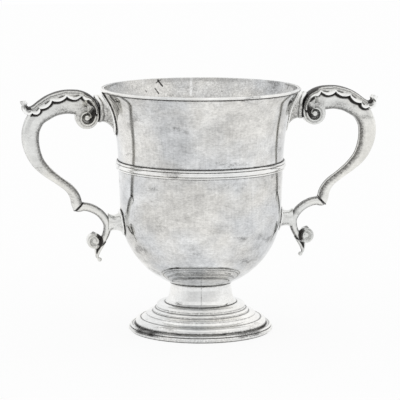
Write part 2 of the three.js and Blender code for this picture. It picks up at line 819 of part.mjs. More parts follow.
// The space that the volute and the leaf over it take, with the solder gap round them.
function voluteSpace() {
  const shape = new THREE.Shape();
  const steps = 28;
  for (let k = 0; k < steps; k++) {
    const angle = upwards + (k / steps) * fullTurn;
    const covered = 1 - THREE.MathUtils.smoothstep(angle, leafStartAngle, leafStartAngle + leafRootFade);
    const leaf = covered * (leafThickness + solderGap);
    const open = angle > upwards + voluteClosed ? upwards : angle;
    const radius = voluteOutline(open) + solderGap + leaf;
    const x = voluteCentre.x + radius * Math.cos(angle * degrees);
    const z = voluteCentre.y + radius * Math.sin(angle * degrees);
    shape[k ? "lineTo" : "moveTo"](x, -z);
  }
  const depth = upperPlateWidth * 2;
  const prism = new THREE.ExtrudeGeometry(shape, { depth, bevelEnabled: false });
  return solidFrom(prism.translate(0, 0, -depth / 2).rotateX(-Math.PI / 2));
}

function upperSocket() {
  const neckTop = upperPlateTop - upperNeckDrop;
  const neckLow = neckTop - upperNeckHeight;
  const wallLow = wallRadius(upperPlateLow) + solderGap + upperPlateThickness;
  const bandEnd = voluteCentre.x - voluteRadius - neckBandWidth;
  const inVolute = bandEnd + neckBandWidth * 1.5;
  const round = neckBandWidth * neckBandRound;
  const swell = neckBandSwell;
  const half = upperNeckWidth / 2;
  const plateHalf = upperPlateWidth / 2;
  const foot = [upperPlateLow + plateMargin, upperPlateTop, plateHalf - plateMargin];
  const trumpet = (share) => THREE.MathUtils.lerp(bandEnd, wallLow, share);
  const spread = THREE.MathUtils.lerp(neckLow, upperPlateLow, neckSpread);
  const neck = neckSolid(
    [
      [inVolute, neckLow, neckTop - swell, half],
      [bandEnd + neckBandWidth - round, neckLow - swell, neckTop, half + swell],
      [bandEnd + round, neckLow - swell, neckTop + swell, half + swell],
      [bandEnd, neckLow, neckTop + swell, half],
      [trumpet(1 / 3), neckLow - swell, upperPlateTop - swell, half],
      [trumpet(2 / 3), spread, upperPlateTop, (half + plateHalf) / 2],
      [wallLow, ...foot],
      [wallRadius(upperPlateLow) - bowlSheet, ...foot],
    ],
    12,
  );
  const middle = (upperPlateTop + upperPlateLow) / 2;
  const plate = wallPlate(middle, upperPlateHeight / 2, plateHalf, upperPlateThickness);
  return geometryFrom(largestPiece(neck.add(plate).subtract(bowlSpace(solderGap)).subtract(voluteSpace())));
}

// The outer one of the pieces that a cut leaves, which is the one outside the wall.
function largestPiece(solid) {
  const pieces = solid.decompose();
  return pieces.reduce((best, piece) => (piece.volume() > best.volume() ? piece : best));
}

function lowerSocket() {
  const centre = lowerBack.y;
  const half = lowerNeckDiameter / 2;
  const plateHalf = lowerPlateDiameter / 2;
  const wall = wallRadius(centre) + solderGap + lowerPlateThickness;
  const end = lowerBack.x - scrollHalfDepth / 2;
  const ring = (x, radius) => [x, centre - radius, centre + radius, radius];
  const foot = plateHalf - plateMargin;
  const neck = neckSolid(
    [
      ring(end, half),
      ring(THREE.MathUtils.lerp(wall, lowerBack.x, 1 / 2), half),
      ring(THREE.MathUtils.lerp(wall, lowerBack.x, 1 / 5), THREE.MathUtils.lerp(half, foot, neckSpread)),
      ring(wall, foot),
      ring(wall - plateHalf / 2, foot),
    ],
    12,
  );
  const plate = wallPlate(centre, plateHalf, plateHalf, lowerPlateThickness);
  const cut = neck.add(plate).subtract(bowlSpace(solderGap)).subtract(scrollSolid(solderGap));
  return geometryFrom(largestPiece(cut));
}

// The drop: a strip that leaves the C-scroll's back, hooks towards the cup and ends in a bead,
// with a short leaf tip beside it. Its lines are shares of their lengths, outwards and down.
function scrollDrop() {
  const start = lowerBack.clone().add(new THREE.Vector2(dropOut, -dropDown));
  const strip = (places, length, deep, wide) => {
    const points = places.map(
      ([out, down]) => new THREE.Vector2(start.x + out * length, start.y - down * length),
    );
    const line = new THREE.SplineCurve(points);
    const [steps, sides] = [7, 6];
    const rings = [];
    for (let k = 0; k <= steps; k++) {
      const share = k / steps;
      const [point, normal] = [line.getPointAt(share), normalAt(line, share)];
      const taper = 1 - dropTaper * share;
      rings.push(
        sectionPoints(sides, gripSquareness).map(([up, across]) =>
          besideLine(point, normal, up * deep * taper, across * wide * taper),
        ),
      );
    }
    return [solidFrom(loft(rings)), points.at(-1)];
  };
  const hook = [[0, 0], [0.19, 0.25], [0.35, 0.52], [0.39, 0.78], [0.31, 0.95], [0.18, 1]];
  const tip = [[0.55, 0.2], [0.91, 0.55], [0.98, 1]];
  const [main, end] = strip(hook, dropLength, dropHalfDepth, dropHalfWidth);
  const [side] = strip(tip, dropTipLength, dropHalfDepth, dropHalfWidth * dropTipShare);
  const bead = solidFrom(new THREE.SphereGeometry(dropBeadRadius, 8, 5).translate(end.x, 0, end.y));
  return geometryFrom(largestPiece(main.add(side).add(bead).subtract(scrollSolid(solderGap))));
}

// Assembly

const silver = new THREE.MeshStandardMaterial({ color: 0xc9cac6, roughness: 0.28, metalness: 1 });
const castSilver = new THREE.MeshStandardMaterial({ color: 0xc6c5bd, roughness: 0.34, metalness: 1 });

function named(name, geometry, material) {
  const mesh = new THREE.Mesh(geometry, material);
  mesh.name = name;
  return mesh;
}

// A handle on the +X side; the seam side that faces the front is 1 or -1.
function handle(name, frontSide) {
  const group = new THREE.Group();
  group.add(
    named(name + "_upper_socket", upperSocket(), castSilver),
    named(name + "_grip_front", geometryFrom(gripHalfSolid(frontSide, 0)), castSilver),
    named(name + "_grip_back", geometryFrom(gripHalfSolid(-frontSide, 0)), castSilver),
    named(name + "_leaf_cap", leafCap(), castSilver),
    named(name + "_lower_scroll", geometryFrom(scrollSolid(0)), castSilver),
    named(name + "_lower_socket", lowerSocket(), castSilver),
    named(name + "_scroll_drop", scrollDrop(), castSilver),
  );
  return group;
}

const cup = new THREE.Group();
cup.add(
  named("bowl", bowl(), silver),
  named("rim_wire", rimWire(), silver),
  named("girdle", girdle(), silver),
  named("foot_stem", footStem(), silver),
  named("foot_dome", footDome(), silver),
  named("foot_rim", footRim(), silver),
);

const rightHandle = handle("right", -1);
const leftHandle = handle("left", 1);
leftHandle.rotation.z = Math.PI;
cup.add(rightHandle, leftHandle);

export default cup;
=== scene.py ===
import math

import bmesh
import bpy
import numpy as np
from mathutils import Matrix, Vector


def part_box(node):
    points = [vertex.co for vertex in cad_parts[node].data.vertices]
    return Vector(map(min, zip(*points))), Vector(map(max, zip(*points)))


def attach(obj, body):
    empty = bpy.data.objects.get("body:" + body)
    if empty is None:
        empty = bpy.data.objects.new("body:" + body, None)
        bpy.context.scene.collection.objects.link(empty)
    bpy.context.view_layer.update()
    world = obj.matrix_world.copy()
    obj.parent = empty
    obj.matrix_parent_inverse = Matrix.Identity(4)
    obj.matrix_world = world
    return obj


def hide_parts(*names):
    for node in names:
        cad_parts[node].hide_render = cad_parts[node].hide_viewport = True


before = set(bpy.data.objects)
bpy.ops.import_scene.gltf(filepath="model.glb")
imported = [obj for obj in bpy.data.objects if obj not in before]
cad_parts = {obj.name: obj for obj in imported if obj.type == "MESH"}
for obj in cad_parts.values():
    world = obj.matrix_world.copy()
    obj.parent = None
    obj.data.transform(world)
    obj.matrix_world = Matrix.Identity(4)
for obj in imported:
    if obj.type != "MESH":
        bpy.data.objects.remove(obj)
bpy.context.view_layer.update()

# Sizes are in millimetres, as in the CAD model, and meshes are made in metres.
MM = 0.001
GAP = 0.3  # room for solder between pieces

# Turned body
FOOT_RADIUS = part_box("foot_rim")[1].x / MM
FOOT_RING_WIDTH = 6.4
RIM_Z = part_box("bowl")[1].z / MM
DOME_EDGE = 40.7
DOME_LOW = 4.5
DOME_TOP = 17.8
FOOT_SHEET = 1.4
STEM_TOP = 30.5
STEM_FOOT = 22.4
STEM_WAIST = 18.9
STEM_SHEET = 1.5
BOWL_RADIUS = 50.0
BOWL_DEPTH = 49.0
BOWL_SHEET = 1.3
BOTTOM_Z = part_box("bowl")[0].z / MM
SHOULDER_Z = BOTTOM_Z + BOWL_DEPTH
WALL_HEIGHT = 28.0
WALL_SPREAD = 1.0
LIP_FLARE = 9.8
LIP_START = 43.0
LIP_END = 8.5
RIM_WIRE_HEIGHT = 1.7
RIM_WIRE_DEPTH = 1.0
GIRDLE_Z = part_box("girdle")[0].z / MM
GIRDLE_REEDS = (1.4, 2.7, 1.6)
GIRDLE_DEPTHS = (1.3, 1.8, 1.5)
REED_SWELL = 0.8
INSIDE_SHADE = 0.13  # painted shade all over the inside of the bowl

# Handles, drawn in the plane Y = 0 as (distance from the axis, height)
VOLUTE = np.array((71.1, 134.8))
VOLUTE_RADIUS = 7.0
VOLUTE_ENTRY = 6.5
VOLUTE_OPENING = 7
VOLUTE_HALF_WIDTH = 5.7
GRIP_REACH = 34.0
GRIP_SQUARENESS = 2.7
SCROLL_SQUARENESS = 2.5
MITRE_ANGLE = math.radians(46.5)
ABOVE_MITRE = np.array((math.sin(MITRE_ANGLE), math.cos(MITRE_ANGLE)))  # at right angles to it
LOWER_BACK = np.array((58.5, 68.95))
MITRE = LOWER_BACK + (18.0, 10.5)
CURL = LOWER_BACK + (8.1, -11.0)
CURL_RADIUS = 4.8
CURL_HALF_WIDTH = 3.5
SCROLL_HALF_WIDTH = 3.2


def ramp(value, low, high):
    """0 up to low and 1 from high on, with a smooth change between them."""
    t = np.clip((value - low) / (high - low), 0, 1)
    return t * t * (3 - 2 * t)


def mix(a, b, share):
    return a + (b - a) * share


def peak(value, at, width, power=2):
    """1 where the value is at its mark, and less away from it."""
    return np.exp(-(((value - at) / width) ** power))


def most(*values):
    """The greatest of several values, place by place."""
    return np.max(np.broadcast_arrays(*values), 0)


def in_slices(count, size=8000):
    """Slices that are short enough for a table of distances."""
    return (slice(start, start + size) for start in range(0, count, size))


# Turned pieces


def arc(start, middle, end, steps=10):
    """A quadratic curve from start to end, bent towards middle, without its first point."""
    t = np.linspace(0, 1, steps + 1)[1:, None]
    start, middle, end = map(np.array, (start, middle, end))
    return [tuple(p) for p in (1 - t) ** 2 * start + 2 * t * (1 - t) * middle + t**2 * end]


def moulding(*stations):
    """A profile through stations (r, z, swell, round). Swell bulges the stretch that leads to the
    station, to the right of its direction, and round eases the corner there by that much."""
    full = [tuple(s) + (0,) * (4 - len(s)) for s in stations]
    line = []
    for k, (r, z, swell, ease) in enumerate(full):
        here = before = np.array((r, z), float)
        if ease:
            back, ahead = np.array(full[k - 1][:2]) - here, np.array(full[k + 1][:2]) - here
            before = here + back * min(ease / np.hypot(*back), 0.5)
        if swell:
            away = before - line[-1]
            right = np.array((away[1], -away[0])) / np.hypot(*away)
            line += arc(line[-1], (line[-1] + before) / 2 + right * 2 * swell, before)
        else:
            line.append(tuple(before))
        if ease:
            line += arc(before, here, here + ahead * min(ease / np.hypot(*ahead), 0.5), 5)
    return np.array(line)


def offset_line(line, distance):
    """The line moved sideways, to its right if the distance is positive."""
    along = np.gradient(line, axis=0)
    along /= np.hypot(*along.T)[:, None]
    return line + distance * np.stack((along[:, 1], -along[:, 0]), 1)


def bowl_outline():
    angles = np.linspace(0, math.pi / 2, 48)
    bottom = np.stack((BOWL_RADIUS * np.sin(angles), SHOULDER_Z - BOWL_DEPTH * np.cos(angles)), 1)
    top = BOWL_RADIUS + WALL_SPREAD
    flare_z = SHOULDER_Z + WALL_HEIGHT
    wall = np.linspace((BOWL_RADIUS, SHOULDER_Z), (top, flare_z), 40)[1:-1]
    t = np.linspace(0, 1, 70)[:, None]
    steep = top + LIP_START * WALL_SPREAD / WALL_HEIGHT
    lip = top + LIP_FLARE
    points = ((top, flare_z), (steep, flare_z + LIP_START), (lip, RIM_Z - LIP_END), (lip, RIM_Z))
    weights = ((1 - t) ** 3, 3 * t * (1 - t) ** 2, 3 * t**2 * (1 - t), t**3)
    return np.concatenate((bottom, wall, sum(w * p for w, p in zip(weights, points))))


OUTLINE = bowl_outline()


def wall_radius(z):
    return np.interp(z, OUTLINE[:, 1], OUTLINE[:, 0])


def placed(name, data):
    """A new object in the scene."""
    thing = bpy.data.objects.new(name, data)
    bpy.context.scene.collection.objects.link(thing)
    return thing


def new_piece(name, points, faces, node, sharp=40):
    """A mesh object in millimetres that stands for a CAD node."""
    mesh = bpy.data.meshes.new(name)
    mesh.from_pydata((points * MM).tolist(), [], faces)
    mesh.validate()
    mesh.set_sharp_from_angle(angle=math.radians(sharp))
    piece = placed(name, mesh)
    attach(piece, "root")
    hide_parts(node)
    return piece


def denser(line, marks, step=0.12):
    """The profile with more points near the marks (r, z, reach, strength), to hold tarnish and painted
    shade.
    """
    made = [line[:1]]
    for start, end in zip(line[:-1], line[1:]):
        along = end - start
        pieces = 1
        for mark_r, mark_z, reach, _ in marks:
            from_start = np.array((mark_r, mark_z)) - start
            share = np.clip(from_start @ along / max(along @ along, 1e-9), 0, 1)
            if np.hypot(*(from_start - share * along)) < 2.2 * reach:
                pieces = math.ceil(np.hypot(*along) / step)
        made.append(start + along * np.linspace(0, 1, pieces + 1)[1:, None])
    return np.concatenate(made)


def revolve(name, profile, node, tarnish_and_shade, sides=240, ring=True):
    """A turned piece from its profile, which goes up the outside and comes down the inside, with
    tarnish and painted shade near the circles (r, z, reach, strength)."""
    line = denser(np.asarray(profile, float), tarnish_and_shade)
    angles = np.arange(sides) * 2 * math.pi / sides
    r, z = line[:, 0], line[:, 1]
    x, y = np.outer(r, np.cos(angles)), np.outer(r, np.sin(angles))
    points = np.stack((x, y, np.repeat(z[:, None], sides, 1)), 2).reshape(-1, 3)
    rows = len(line)
    faces = []
    for k in range(rows if ring else rows - 1):
        a, b = k * sides, ((k + 1) % rows) * sides
        for i in range(sides):
            j = (i + 1) % sides
            faces.append((a + i, a + j, b + j, b + i))
    piece = new_piece(name, points, faces, node)
    weld(piece)
    x, y, z = points_of(piece).T
    r = np.hypot(x, y)
    near = [depth * peak(r, at_r, reach) * peak(z, at_z, reach) for at_r, at_z, reach, depth in tarnish_and_shade]
    set_tarnish_and_shade(piece, most(*near))
    return piece


def points_of(piece):
    """The piece's points in millimetres."""
    flat = np.empty(len(piece.data.vertices) * 3)
    piece.data.vertices.foreach_get("co", flat)
    return flat.reshape(-1, 3) / MM


def set_tarnish_and_shade(piece, values):
    """How much dark tarnish and painted shade each point holds, from 0 to 1, for the material. Less
    than 0 is how much painted highlight the point gets."""
    layer = piece.data.attributes.get("tarnish_and_shade")
    layer = layer or piece.data.attributes.new("tarnish_and_shade", "FLOAT", "POINT")
    layer.data.foreach_set("value", np.clip(values, -1, 1).astype(np.float32))


def tarnish_and_shade_of(piece):
    values = np.empty(len(piece.data.vertices))
    piece.data.attributes["tarnish_and_shade"].data.foreach_get("value", values)
    return values


def weld(piece):
    """Joins the points that a profile's ends share on the axis."""
    shape = bmesh.new()
    shape.from_mesh(piece.data)
    bmesh.ops.remove_doubles(shape, verts=shape.verts, dist=1e-7)
    bmesh.ops.dissolve_degenerate(shape, dist=1e-8, edges=shape.edges)
    bmesh.ops.recalc_face_normals(shape, faces=shape.faces)
    shape.to_mesh(piece.data)
    shape.free()


def make_bowl():
    top = OUTLINE[-1][0]
    inside = offset_line(OUTLINE, -BOWL_SHEET)[::-1]
    inside = np.concatenate((inside[:-1:2], inside[-1:]))
    inside[0] = (top - BOWL_SHEET, RIM_Z)
    inside[-1][0] = 0
    lip = arc((top, RIM_Z - 0.5), (top, RIM_Z), (top - 0.5, RIM_Z), 4)
    lip += arc((top - BOWL_SHEET + 0.5, RIM_Z), inside[0], (inside[0][0], RIM_Z - 0.5), 4)
    outside = [p for p in OUTLINE if p[1] < RIM_Z - 0.5]
    inside = [p for p in inside if p[1] < RIM_Z - 0.5]
    wire = RIM_Z - RIM_WIRE_HEIGHT
    girdle_top = GIRDLE_Z + sum(GIRDLE_REEDS)
    # Painted shade under the rim wire and at the girdle's edges, partly tarnish, and a dark joint at the
    # stem.
    marks = [
        (wall_radius(wire), wire - 0.2, 0.5, 1.0),
        (wall_radius(GIRDLE_Z), GIRDLE_Z, 0.3, 0.7),
        (wall_radius(girdle_top), girdle_top + 0.15, 0.5, 1.0),
        (19.8, STEM_TOP, 0.4, 0.6),
    ]
    bowl = revolve("bowl_sheet", outside + lip + inside, "bowl", marks, 320, ring=False)
    points = points_of(bowl)
    inner = off_wall(*points.T) < -0.6  # the inside of the sheet
    # Painted shade on the wall round the plates, with their dark solder joints, and painted shade over
    # the inside.
    round_plates = closeness(points, plate_outlines(), 1.0) * ~inner
    set_tarnish_and_shade(bowl, most(round_plates, tarnish_and_shade_of(bowl), INSIDE_SHADE * inner))
    return bowl


def make_rim_wire():
    inner = OUTLINE[-1][0] + 0.02
    low = RIM_Z - RIM_WIRE_HEIGHT
    outer = inner + GAP + RIM_WIRE_DEPTH - 0.02
    profile = moulding(
        (inner, low + 0.15), (outer - 0.75, low, 0, 0.2),
        (outer, (low + RIM_Z) / 2, 0.18), (outer - 0.75, RIM_Z, 0.18, 0.15),
        (inner, RIM_Z - 0.05),
    )
    # Painted shadow under the wire, partly tarnish, and a dark joint along its top.
    marks = [(inner + 0.2, low, 0.5, 1.0), (inner, RIM_Z, 0.2, 0.5)]
    return revolve("rim_moulding", profile, "rim_wire", marks)


def make_girdle():
    z = GIRDLE_Z
    stations = [(wall_radius(z) + 0.05, z)]
    # Painted shade in the grooves between the reeds and at the girdle's edges, partly tarnish.
    marks = [(wall_radius(z) + 0.3, z, 0.35, 0.7)]
    for height, depth in zip(GIRDLE_REEDS, GIRDLE_DEPTHS):
        stations.append((wall_radius(z) + depth - REED_SWELL, z + 0.08))
        z += height
        groove = wall_radius(z) + depth - REED_SWELL
        stations.append((groove, z - 0.08, REED_SWELL))
        marks.append((groove, z, 0.25, 0.7))
    marks[-1] = (wall_radius(z) + 0.3, z, 0.6, 1.0)
    stations.append((wall_radius(z) + 0.05, z))
    return revolve("girdle_reeds", moulding(*stations), "girdle", marks)


def make_foot_rim():
    r = FOOT_RADIUS
    back, bead, top = r - FOOT_RING_WIDTH, 2.95, 4.2
    profile = moulding(
        (back, 0), (r - 1.6, 0, 0, 0.5),
        (r - 1.1, bead - 0.05, 1.0), (r - 1.7, bead),
        (r - 1.75, top - 0.05, 0.5), (r - 2.6, top),
        (r - 4.1, top - 0.15, 0, 0.2), (back, top - 0.05),
    )
    # Painted shade in the ring's grooves, on its lower face and at its foot, partly tarnish.
    marks = [
        (r - 4.4, top, 0.9, 1.0), (r - 2.7, top, 0.35, 0.7),
        (r - 1.7, bead, 0.6, 1.0), (r - 1.0, 1.6, 1.2, 0.22),
        (r - 1.4, 0, 0.9, 1.0),
    ]
    ring = revolve("foot_ring", profile, "foot_rim", marks)
    x, y, z = points_of(ring).T
    round_axis = np.degrees(np.arctan2(x, -y) + CAMERA_TURN)  # to the right of the camera
    # Two black reflections of the room, painted into the ring's colour
    black = peak(round_axis, -50, 17, 4) + 0.7 * peak(round_axis, 44, 15, 4)
    broken = 0.85 + 0.15 * np.sin(np.radians(round_axis * 23))
    painted_reflection = black * broken * ramp(z, 1.7, 2.3)
    set_tarnish_and_shade(ring, np.maximum(tarnish_and_shade_of(ring), painted_reflection))
    return ring


def make_foot_dome():
    bore = STEM_WAIST - STEM_SHEET
    cove = (37.5, 8.15)
    step_foot = (34.1, 10.5)
    bead_foot = (30.0, 12.0)
    bead_top = (28.6, 14.2)
    ledge_foot = (27.5, 15.2)
    outside = moulding(
        (DOME_EDGE, DOME_LOW), (DOME_EDGE - 0.05, 5.2),
        (38.3, 8.05, 0.85), (*cove, 0, 0.15),
        (*step_foot, -0.75), (34.0, 11.0, 0, 0.25),
        (33.5, 11.35, 0, 0.2), (*bead_foot, -0.12),
        (29.5, 12.6, -0.1), (29.4, 13.7, 0.2, 0.3),
        (*bead_top, 0, 0.2), (*ledge_foot, -0.25),
        (27.3, 16.9, 0.1, 0.4), (26.3, 17.5, 0, 0.5),
        (21.2, DOME_TOP, -0.05), (bore, DOME_TOP),
    )
    inside = moulding(
        (bore, DOME_TOP - FOOT_SHEET), (21.0, DOME_TOP - FOOT_SHEET),
        (25.6, 16.1, 0, 0.5), (26.1, 14.4, 0, 0.5),
        (28.0, 12.6, 0, 0.5), (28.6, 11.0, 0, 0.5),
        (32.6, 9.9, 0, 0.5), (36.4, 6.9, 0.5, 0.4),
        (38.4, 6.6, 0, 0.4), (39.2, DOME_LOW, -0.3),
    )
    # Painted shade in the dome's coves and steps and at its edge, partly tarnish, and a dark joint at
    # the stem.
    marks = [
        (DOME_EDGE + 0.1, DOME_LOW + 0.1, 0.8, 1.0),
        (*cove, 0.45, 0.85), (step_foot[0] - 0.1, step_foot[1] + 0.05, 0.3, 0.5),
        (*bead_foot, 0.5, 0.8), (bead_top[0] - 0.2, bead_top[1] + 0.1, 0.45, 0.8),
        (*ledge_foot, 0.35, 0.5), (STEM_FOOT, DOME_TOP, 0.5, 0.9),
    ]
    return revolve("foot_plate", np.concatenate((outside, inside)), "foot_dome", marks)


def make_foot_stem():
    bore = STEM_WAIST - STEM_SHEET
    base = DOME_TOP + 0.05
    seat = SHOULDER_Z - BOWL_DEPTH * math.sqrt(1 - (bore / BOWL_RADIUS) ** 2) - 0.05
    profile = moulding(
        (bore, base), (STEM_FOOT, base, 0, 0.15),
        (21.2, base + 1.3, -0.05), (20.0, base + 4.2, -0.15),
        (19.25, base + 7.6, -0.08), (STEM_WAIST, base + 10.4, -0.05),
        (19.5, STEM_TOP - 0.1, -0.15), (bore, seat),
    )
    # Dark joints at both ends of the stem, with painted shade in the creases there.
    marks = [(STEM_FOOT, base, 0.4, 0.9), (19.6, STEM_TOP, 0.5, 0.9)]
    return revolve("stem_spool", profile, "foot_stem", marks)


# Handle pieces, sculpted as fields that are negative inside


class Line:
    """A smooth plane curve through points, with places on it as shares of its length."""

    STEPS = 14  # from one point to the next

    def __init__(self, points):
        pts = np.array(points, float)
        padded = np.concatenate((pts[:1], pts, pts[-1:]))
        t = np.linspace(0, 1, self.STEPS, endpoint=False)[:, None]
        parts = []
        for k in range(len(pts) - 1):
            p0, p1, p2, p3 = padded[k : k + 4]
            v0, v1 = (p2 - p0) / 2, (p3 - p1) / 2
            turn = v0 + v1 - 2 * (p2 - p1)
            parts.append(p1 + v0 * t + (p2 - p1 - v0 - turn) * t**2 + turn * t**3)
        self.points = np.concatenate((*parts, pts[-1:]))
        lengths = np.hypot(*np.diff(self.points, axis=0).T)
        self.places = np.concatenate(((0,), np.cumsum(lengths)))
        self.places /= self.places[-1]

    def at(self, share):
        return np.stack([np.interp(share, self.places, line) for line in self.points.T], -1)

    def normal(self, share):
        step = 0.004
        ahead = self.at(share + step) - self.at(share - step)
        ahead /= np.hypot(ahead[..., 0], ahead[..., 1])[..., None]
        return np.stack((-ahead[..., 1], ahead[..., 0]), -1)

    def nearest(self, x, z):
        """The share of the nearest place on the line, and the distance to its left."""
        shape = np.broadcast(x, z).shape
        flat = np.stack([a.ravel() for a in np.broadcast_arrays(x, z)], 1)
        share, off = np.empty(len(flat)), np.empty(len(flat))
        for few in in_slices(len(flat)):
            p = flat[few]
            i = ((p[:, None] - self.points) ** 2).sum(2).argmin(1)
            best, s, d = np.inf, 0, 0
            for a in (np.maximum(i - 1, 0), np.minimum(i, len(self.points) - 2)):
                p0, p1 = self.points[a], self.points[a + 1]
                along = p1 - p0
                t = np.clip(((p - p0) * along).sum(1) / (along**2).sum(1), 0, 1)
                away = p - (p0 + along * t[:, None])
                dist = np.hypot(*away.T)
                side = np.sign(along[:, 0] * away[:, 1] - along[:, 1] * away[:, 0])
                nearer = dist < best
                best = np.where(nearer, dist, best)
                s = np.where(nearer, mix(self.places[a], self.places[a + 1], t), s)
                d = np.where(nearer, dist * side, d)
            share[few], off[few] = s, d
        return share.reshape(shape), off.reshape(shape)


def size_along(stations, share):
    """A size that changes smoothly between stations (share of the length, size)."""
    places, sizes = np.array(stations, float).T
    k = np.clip(np.searchsorted(places, share), 1, len(places) - 1)
    return mix(sizes[k - 1], sizes[k], ramp(share, places[k - 1], places[k]))


def both(a, b, soft):
    """The field of the union of two, with a soft fillet between them."""
    h = np.clip(0.5 + 0.5 * (b - a) / soft, 0, 1)
    return mix(b, a, h) - soft * h * (1 - h)


def within(a, b, soft):
    """The field of what two have in common, with a soft edge."""
    return -both(-a, -b, soft)


def oval(up, across, half_up, half_across, squareness):
    """The field of a squarish section."""
    ratio = np.abs(up / half_up) ** squareness + np.abs(across / half_across) ** squareness
    return (ratio ** (1 / squareness) - 1) * np.minimum(half_up, half_across)


def net(field, low, high, step):
    """Points and faces of the surface where a field is 0, with a point for each cell of a grid
    that the surface crosses."""
    axes = [np.arange(a, b + step, step) for a, b in zip(low, high)]
    grid = np.meshgrid(*axes, indexing="ij", sparse=True)
    values = np.broadcast_to(field(*grid), [len(a) for a in axes])
    inside = values < 0
    corners = np.indices((2, 2, 2)).reshape(3, -1).T
    one = np.eye(3, dtype=int)

    def shifted(array, corner):
        return array[tuple(slice(c, n - 1 + c) for c, n in zip(corner, array.shape))]

    count = sum(shifted(inside, c).astype(np.int8) for c in corners)
    cells = np.argwhere((count > 0) & (count < 8))
    index = np.full(count.shape, -1, np.int64)
    index[tuple(cells.T)] = np.arange(len(cells))
    total, hits = np.zeros((len(cells), 3)), np.zeros(len(cells))
    for a in corners:
        for along in one[a == 0]:
            va = values[tuple((cells + a).T)]
            vb = values[tuple((cells + a + along).T)]
            cross = (va < 0) != (vb < 0)
            t = np.where(cross, va / np.where(cross, va - vb, 1), 0)
            total += (a + t[:, None] * along) * cross[:, None]
            hits += cross
    points = np.array([a[0] for a in axes]) + (cells + total / hits[:, None]) * step
    faces = []
    for axis in range(3):
        u, v = (axis + 1) % 3, (axis + 2) % 3
        ends = np.argwhere(np.diff(inside.astype(np.int8), axis=axis) != 0)
        pair = ends[:, (u, v)]
        ends = ends[((pair > 0) & (pair < (count.shape[u], count.shape[v]))).all(1)]
        cells_round = (one[u] + one[v], one[v], 0 * one[u], one[u])
        ring = np.stack([index[tuple((ends - back).T)] for back in cells_round], 1)
        leaving = inside[tuple(ends.T)]
        faces.append(np.where(leaving[:, None], ring, ring[:, ::-1]))
    for _ in range(2):
        points = pulled(field, points, step)
    return points, np.concatenate(faces)


def pulled(field, points, step):
    """The points moved onto the surface along the field's slope, by half a step at most."""
    h = step * 0.2
    changes = [field(*(points + shift).T) - field(*(points - shift).T) for shift in np.eye(3) * h]
    slope = np.stack(changes, 1) / (2 * h)
    steep = np.maximum((slope**2).sum(1), 0.05)
    move = -(field(*points.T) / steep)[:, None] * slope
    length = np.sqrt((move**2).sum(1))[:, None]
    return points + move * np.minimum(1, step * 0.5 / np.maximum(length, 1e-9))


# Places on a handle's lines

# Shares of the way from the volute to the mitre, and of the grip's reach
GRIP_STATIONS = (
    (-0.128, -0.018), (-0.141, 0.108), (-0.155, 0.239), (-0.159, 0.402), (-0.133, 0.592),
    (-0.08, 0.748), (-0.004, 0.895), (0.116, 0.975), (0.239, 0.975), (0.367, 0.915),
    (0.495, 0.797), (0.602, 0.62), (0.702, 0.397), (0.792, 0.193), (0.881, 0.08),
    (0.958, 0.035), (1, 0), (1.07, -0.05),
)
GRIP_LINE = Line([mix(VOLUTE, MITRE, drop) + (out * GRIP_REACH, 0) for drop, out in GRIP_STATIONS])


def grip_deep(share):
    return size_along([(0, 5.3), (0.06, 6.7), (0.42, 5.4), (0.79, 2.65), (0.97, 3.55), (1, 3.6)], share)


def grip_wide(share):
    return size_along([(0, 2.6), (0.05, 5.1), (0.2, 5.4), (0.42, 5.2), (0.79, 3.7), (1, 3.9)], share)


def polar(centre, x, z):
    """Radius and angle in degrees, from 0 to 360, about a centre."""
    dx, dz = x - centre[0], z - centre[1]
    return np.hypot(dx, dz), np.degrees(np.arctan2(dz, dx)) % 360


def spiral_relief(r, angle, spiral):
    """The height of a raised spiral line, from 0 to 1. The spiral is (angles, radii), and winds
    inwards."""
    angles, radii = spiral
    bead = np.zeros(np.broadcast(r, angle).shape)
    for turn in range(3):
        wound = angle + 360 * turn
        on = (wound >= angles[0]) & (wound <= angles[-1])
        line = np.interp(wound, angles, radii)
        fade = ramp(wound, angles[0] - 1, angles[0] + 25)
        fade = fade * (1 - ramp(wound, angles[-1] - 20, angles[-1] + 1))
        bead = np.maximum(bead, np.where(on, fade * peak(r, line, 0.6), 0))
    return bead


VOLUTE_SPIRAL = (
    (97, 117, 136, 164, 180, 204, 242, 281, 312, 348, 381, 418, 457, 491, 525, 560),
    (10.8, 8.9, 7.6, 5.7, 5.1, 4.7, 4.5, 4.35, 4.1, 3.8, 3.6, 3.5, 3.4, 3.0, 2.4, 1.9),
)


def from_entry(angle):
    """The angle counted on from 90 degrees, where the grip runs into the volute."""
    return np.where(angle < 90, angle + 360, angle)


def volute_outline(angle):
    """Radius of the volute's edge, which opens where the grip runs in."""
    opened = np.clip((370 - from_entry(angle)) / 280, 0, 1)
    return VOLUTE_RADIUS + VOLUTE_ENTRY * opened**VOLUTE_OPENING


def volute_relief(r, angle):
    """Half width of the volute at a place on its face, how deep the place lies in the hollow, and
    how near it is to the rim's groove and to the ridge."""
    bead = spiral_relief(r, angle, VOLUTE_SPIRAL)
    wound = from_entry(angle)
    first = np.interp(wound, *VOLUTE_SPIRAL)
    second = np.interp(wound + 360, *VOLUTE_SPIRAL)
    inner = 1 - ramp(r, first - 1.2, first - 0.3)
    throat = ramp(r, second, second + 0.8) * (angle > 90)
    fade = mix(1, ramp(angle, 88, 150), throat)
    hollow = inner * (1 - bead) * ramp(r, 1.4, 2.3) * fade
    outside = ramp(r, first + 0.2, first + 1.3)
    eye = 0.75 * peak(r, 0, 1.6, 4)
    rim = peak(r, first + 1.0, 0.55)
    half = VOLUTE_HALF_WIDTH - 0.35 + 0.75 * bead - 2.2 * hollow - 0.8 * outside + eye
    return half, hollow, rim, np.maximum(bead, eye)


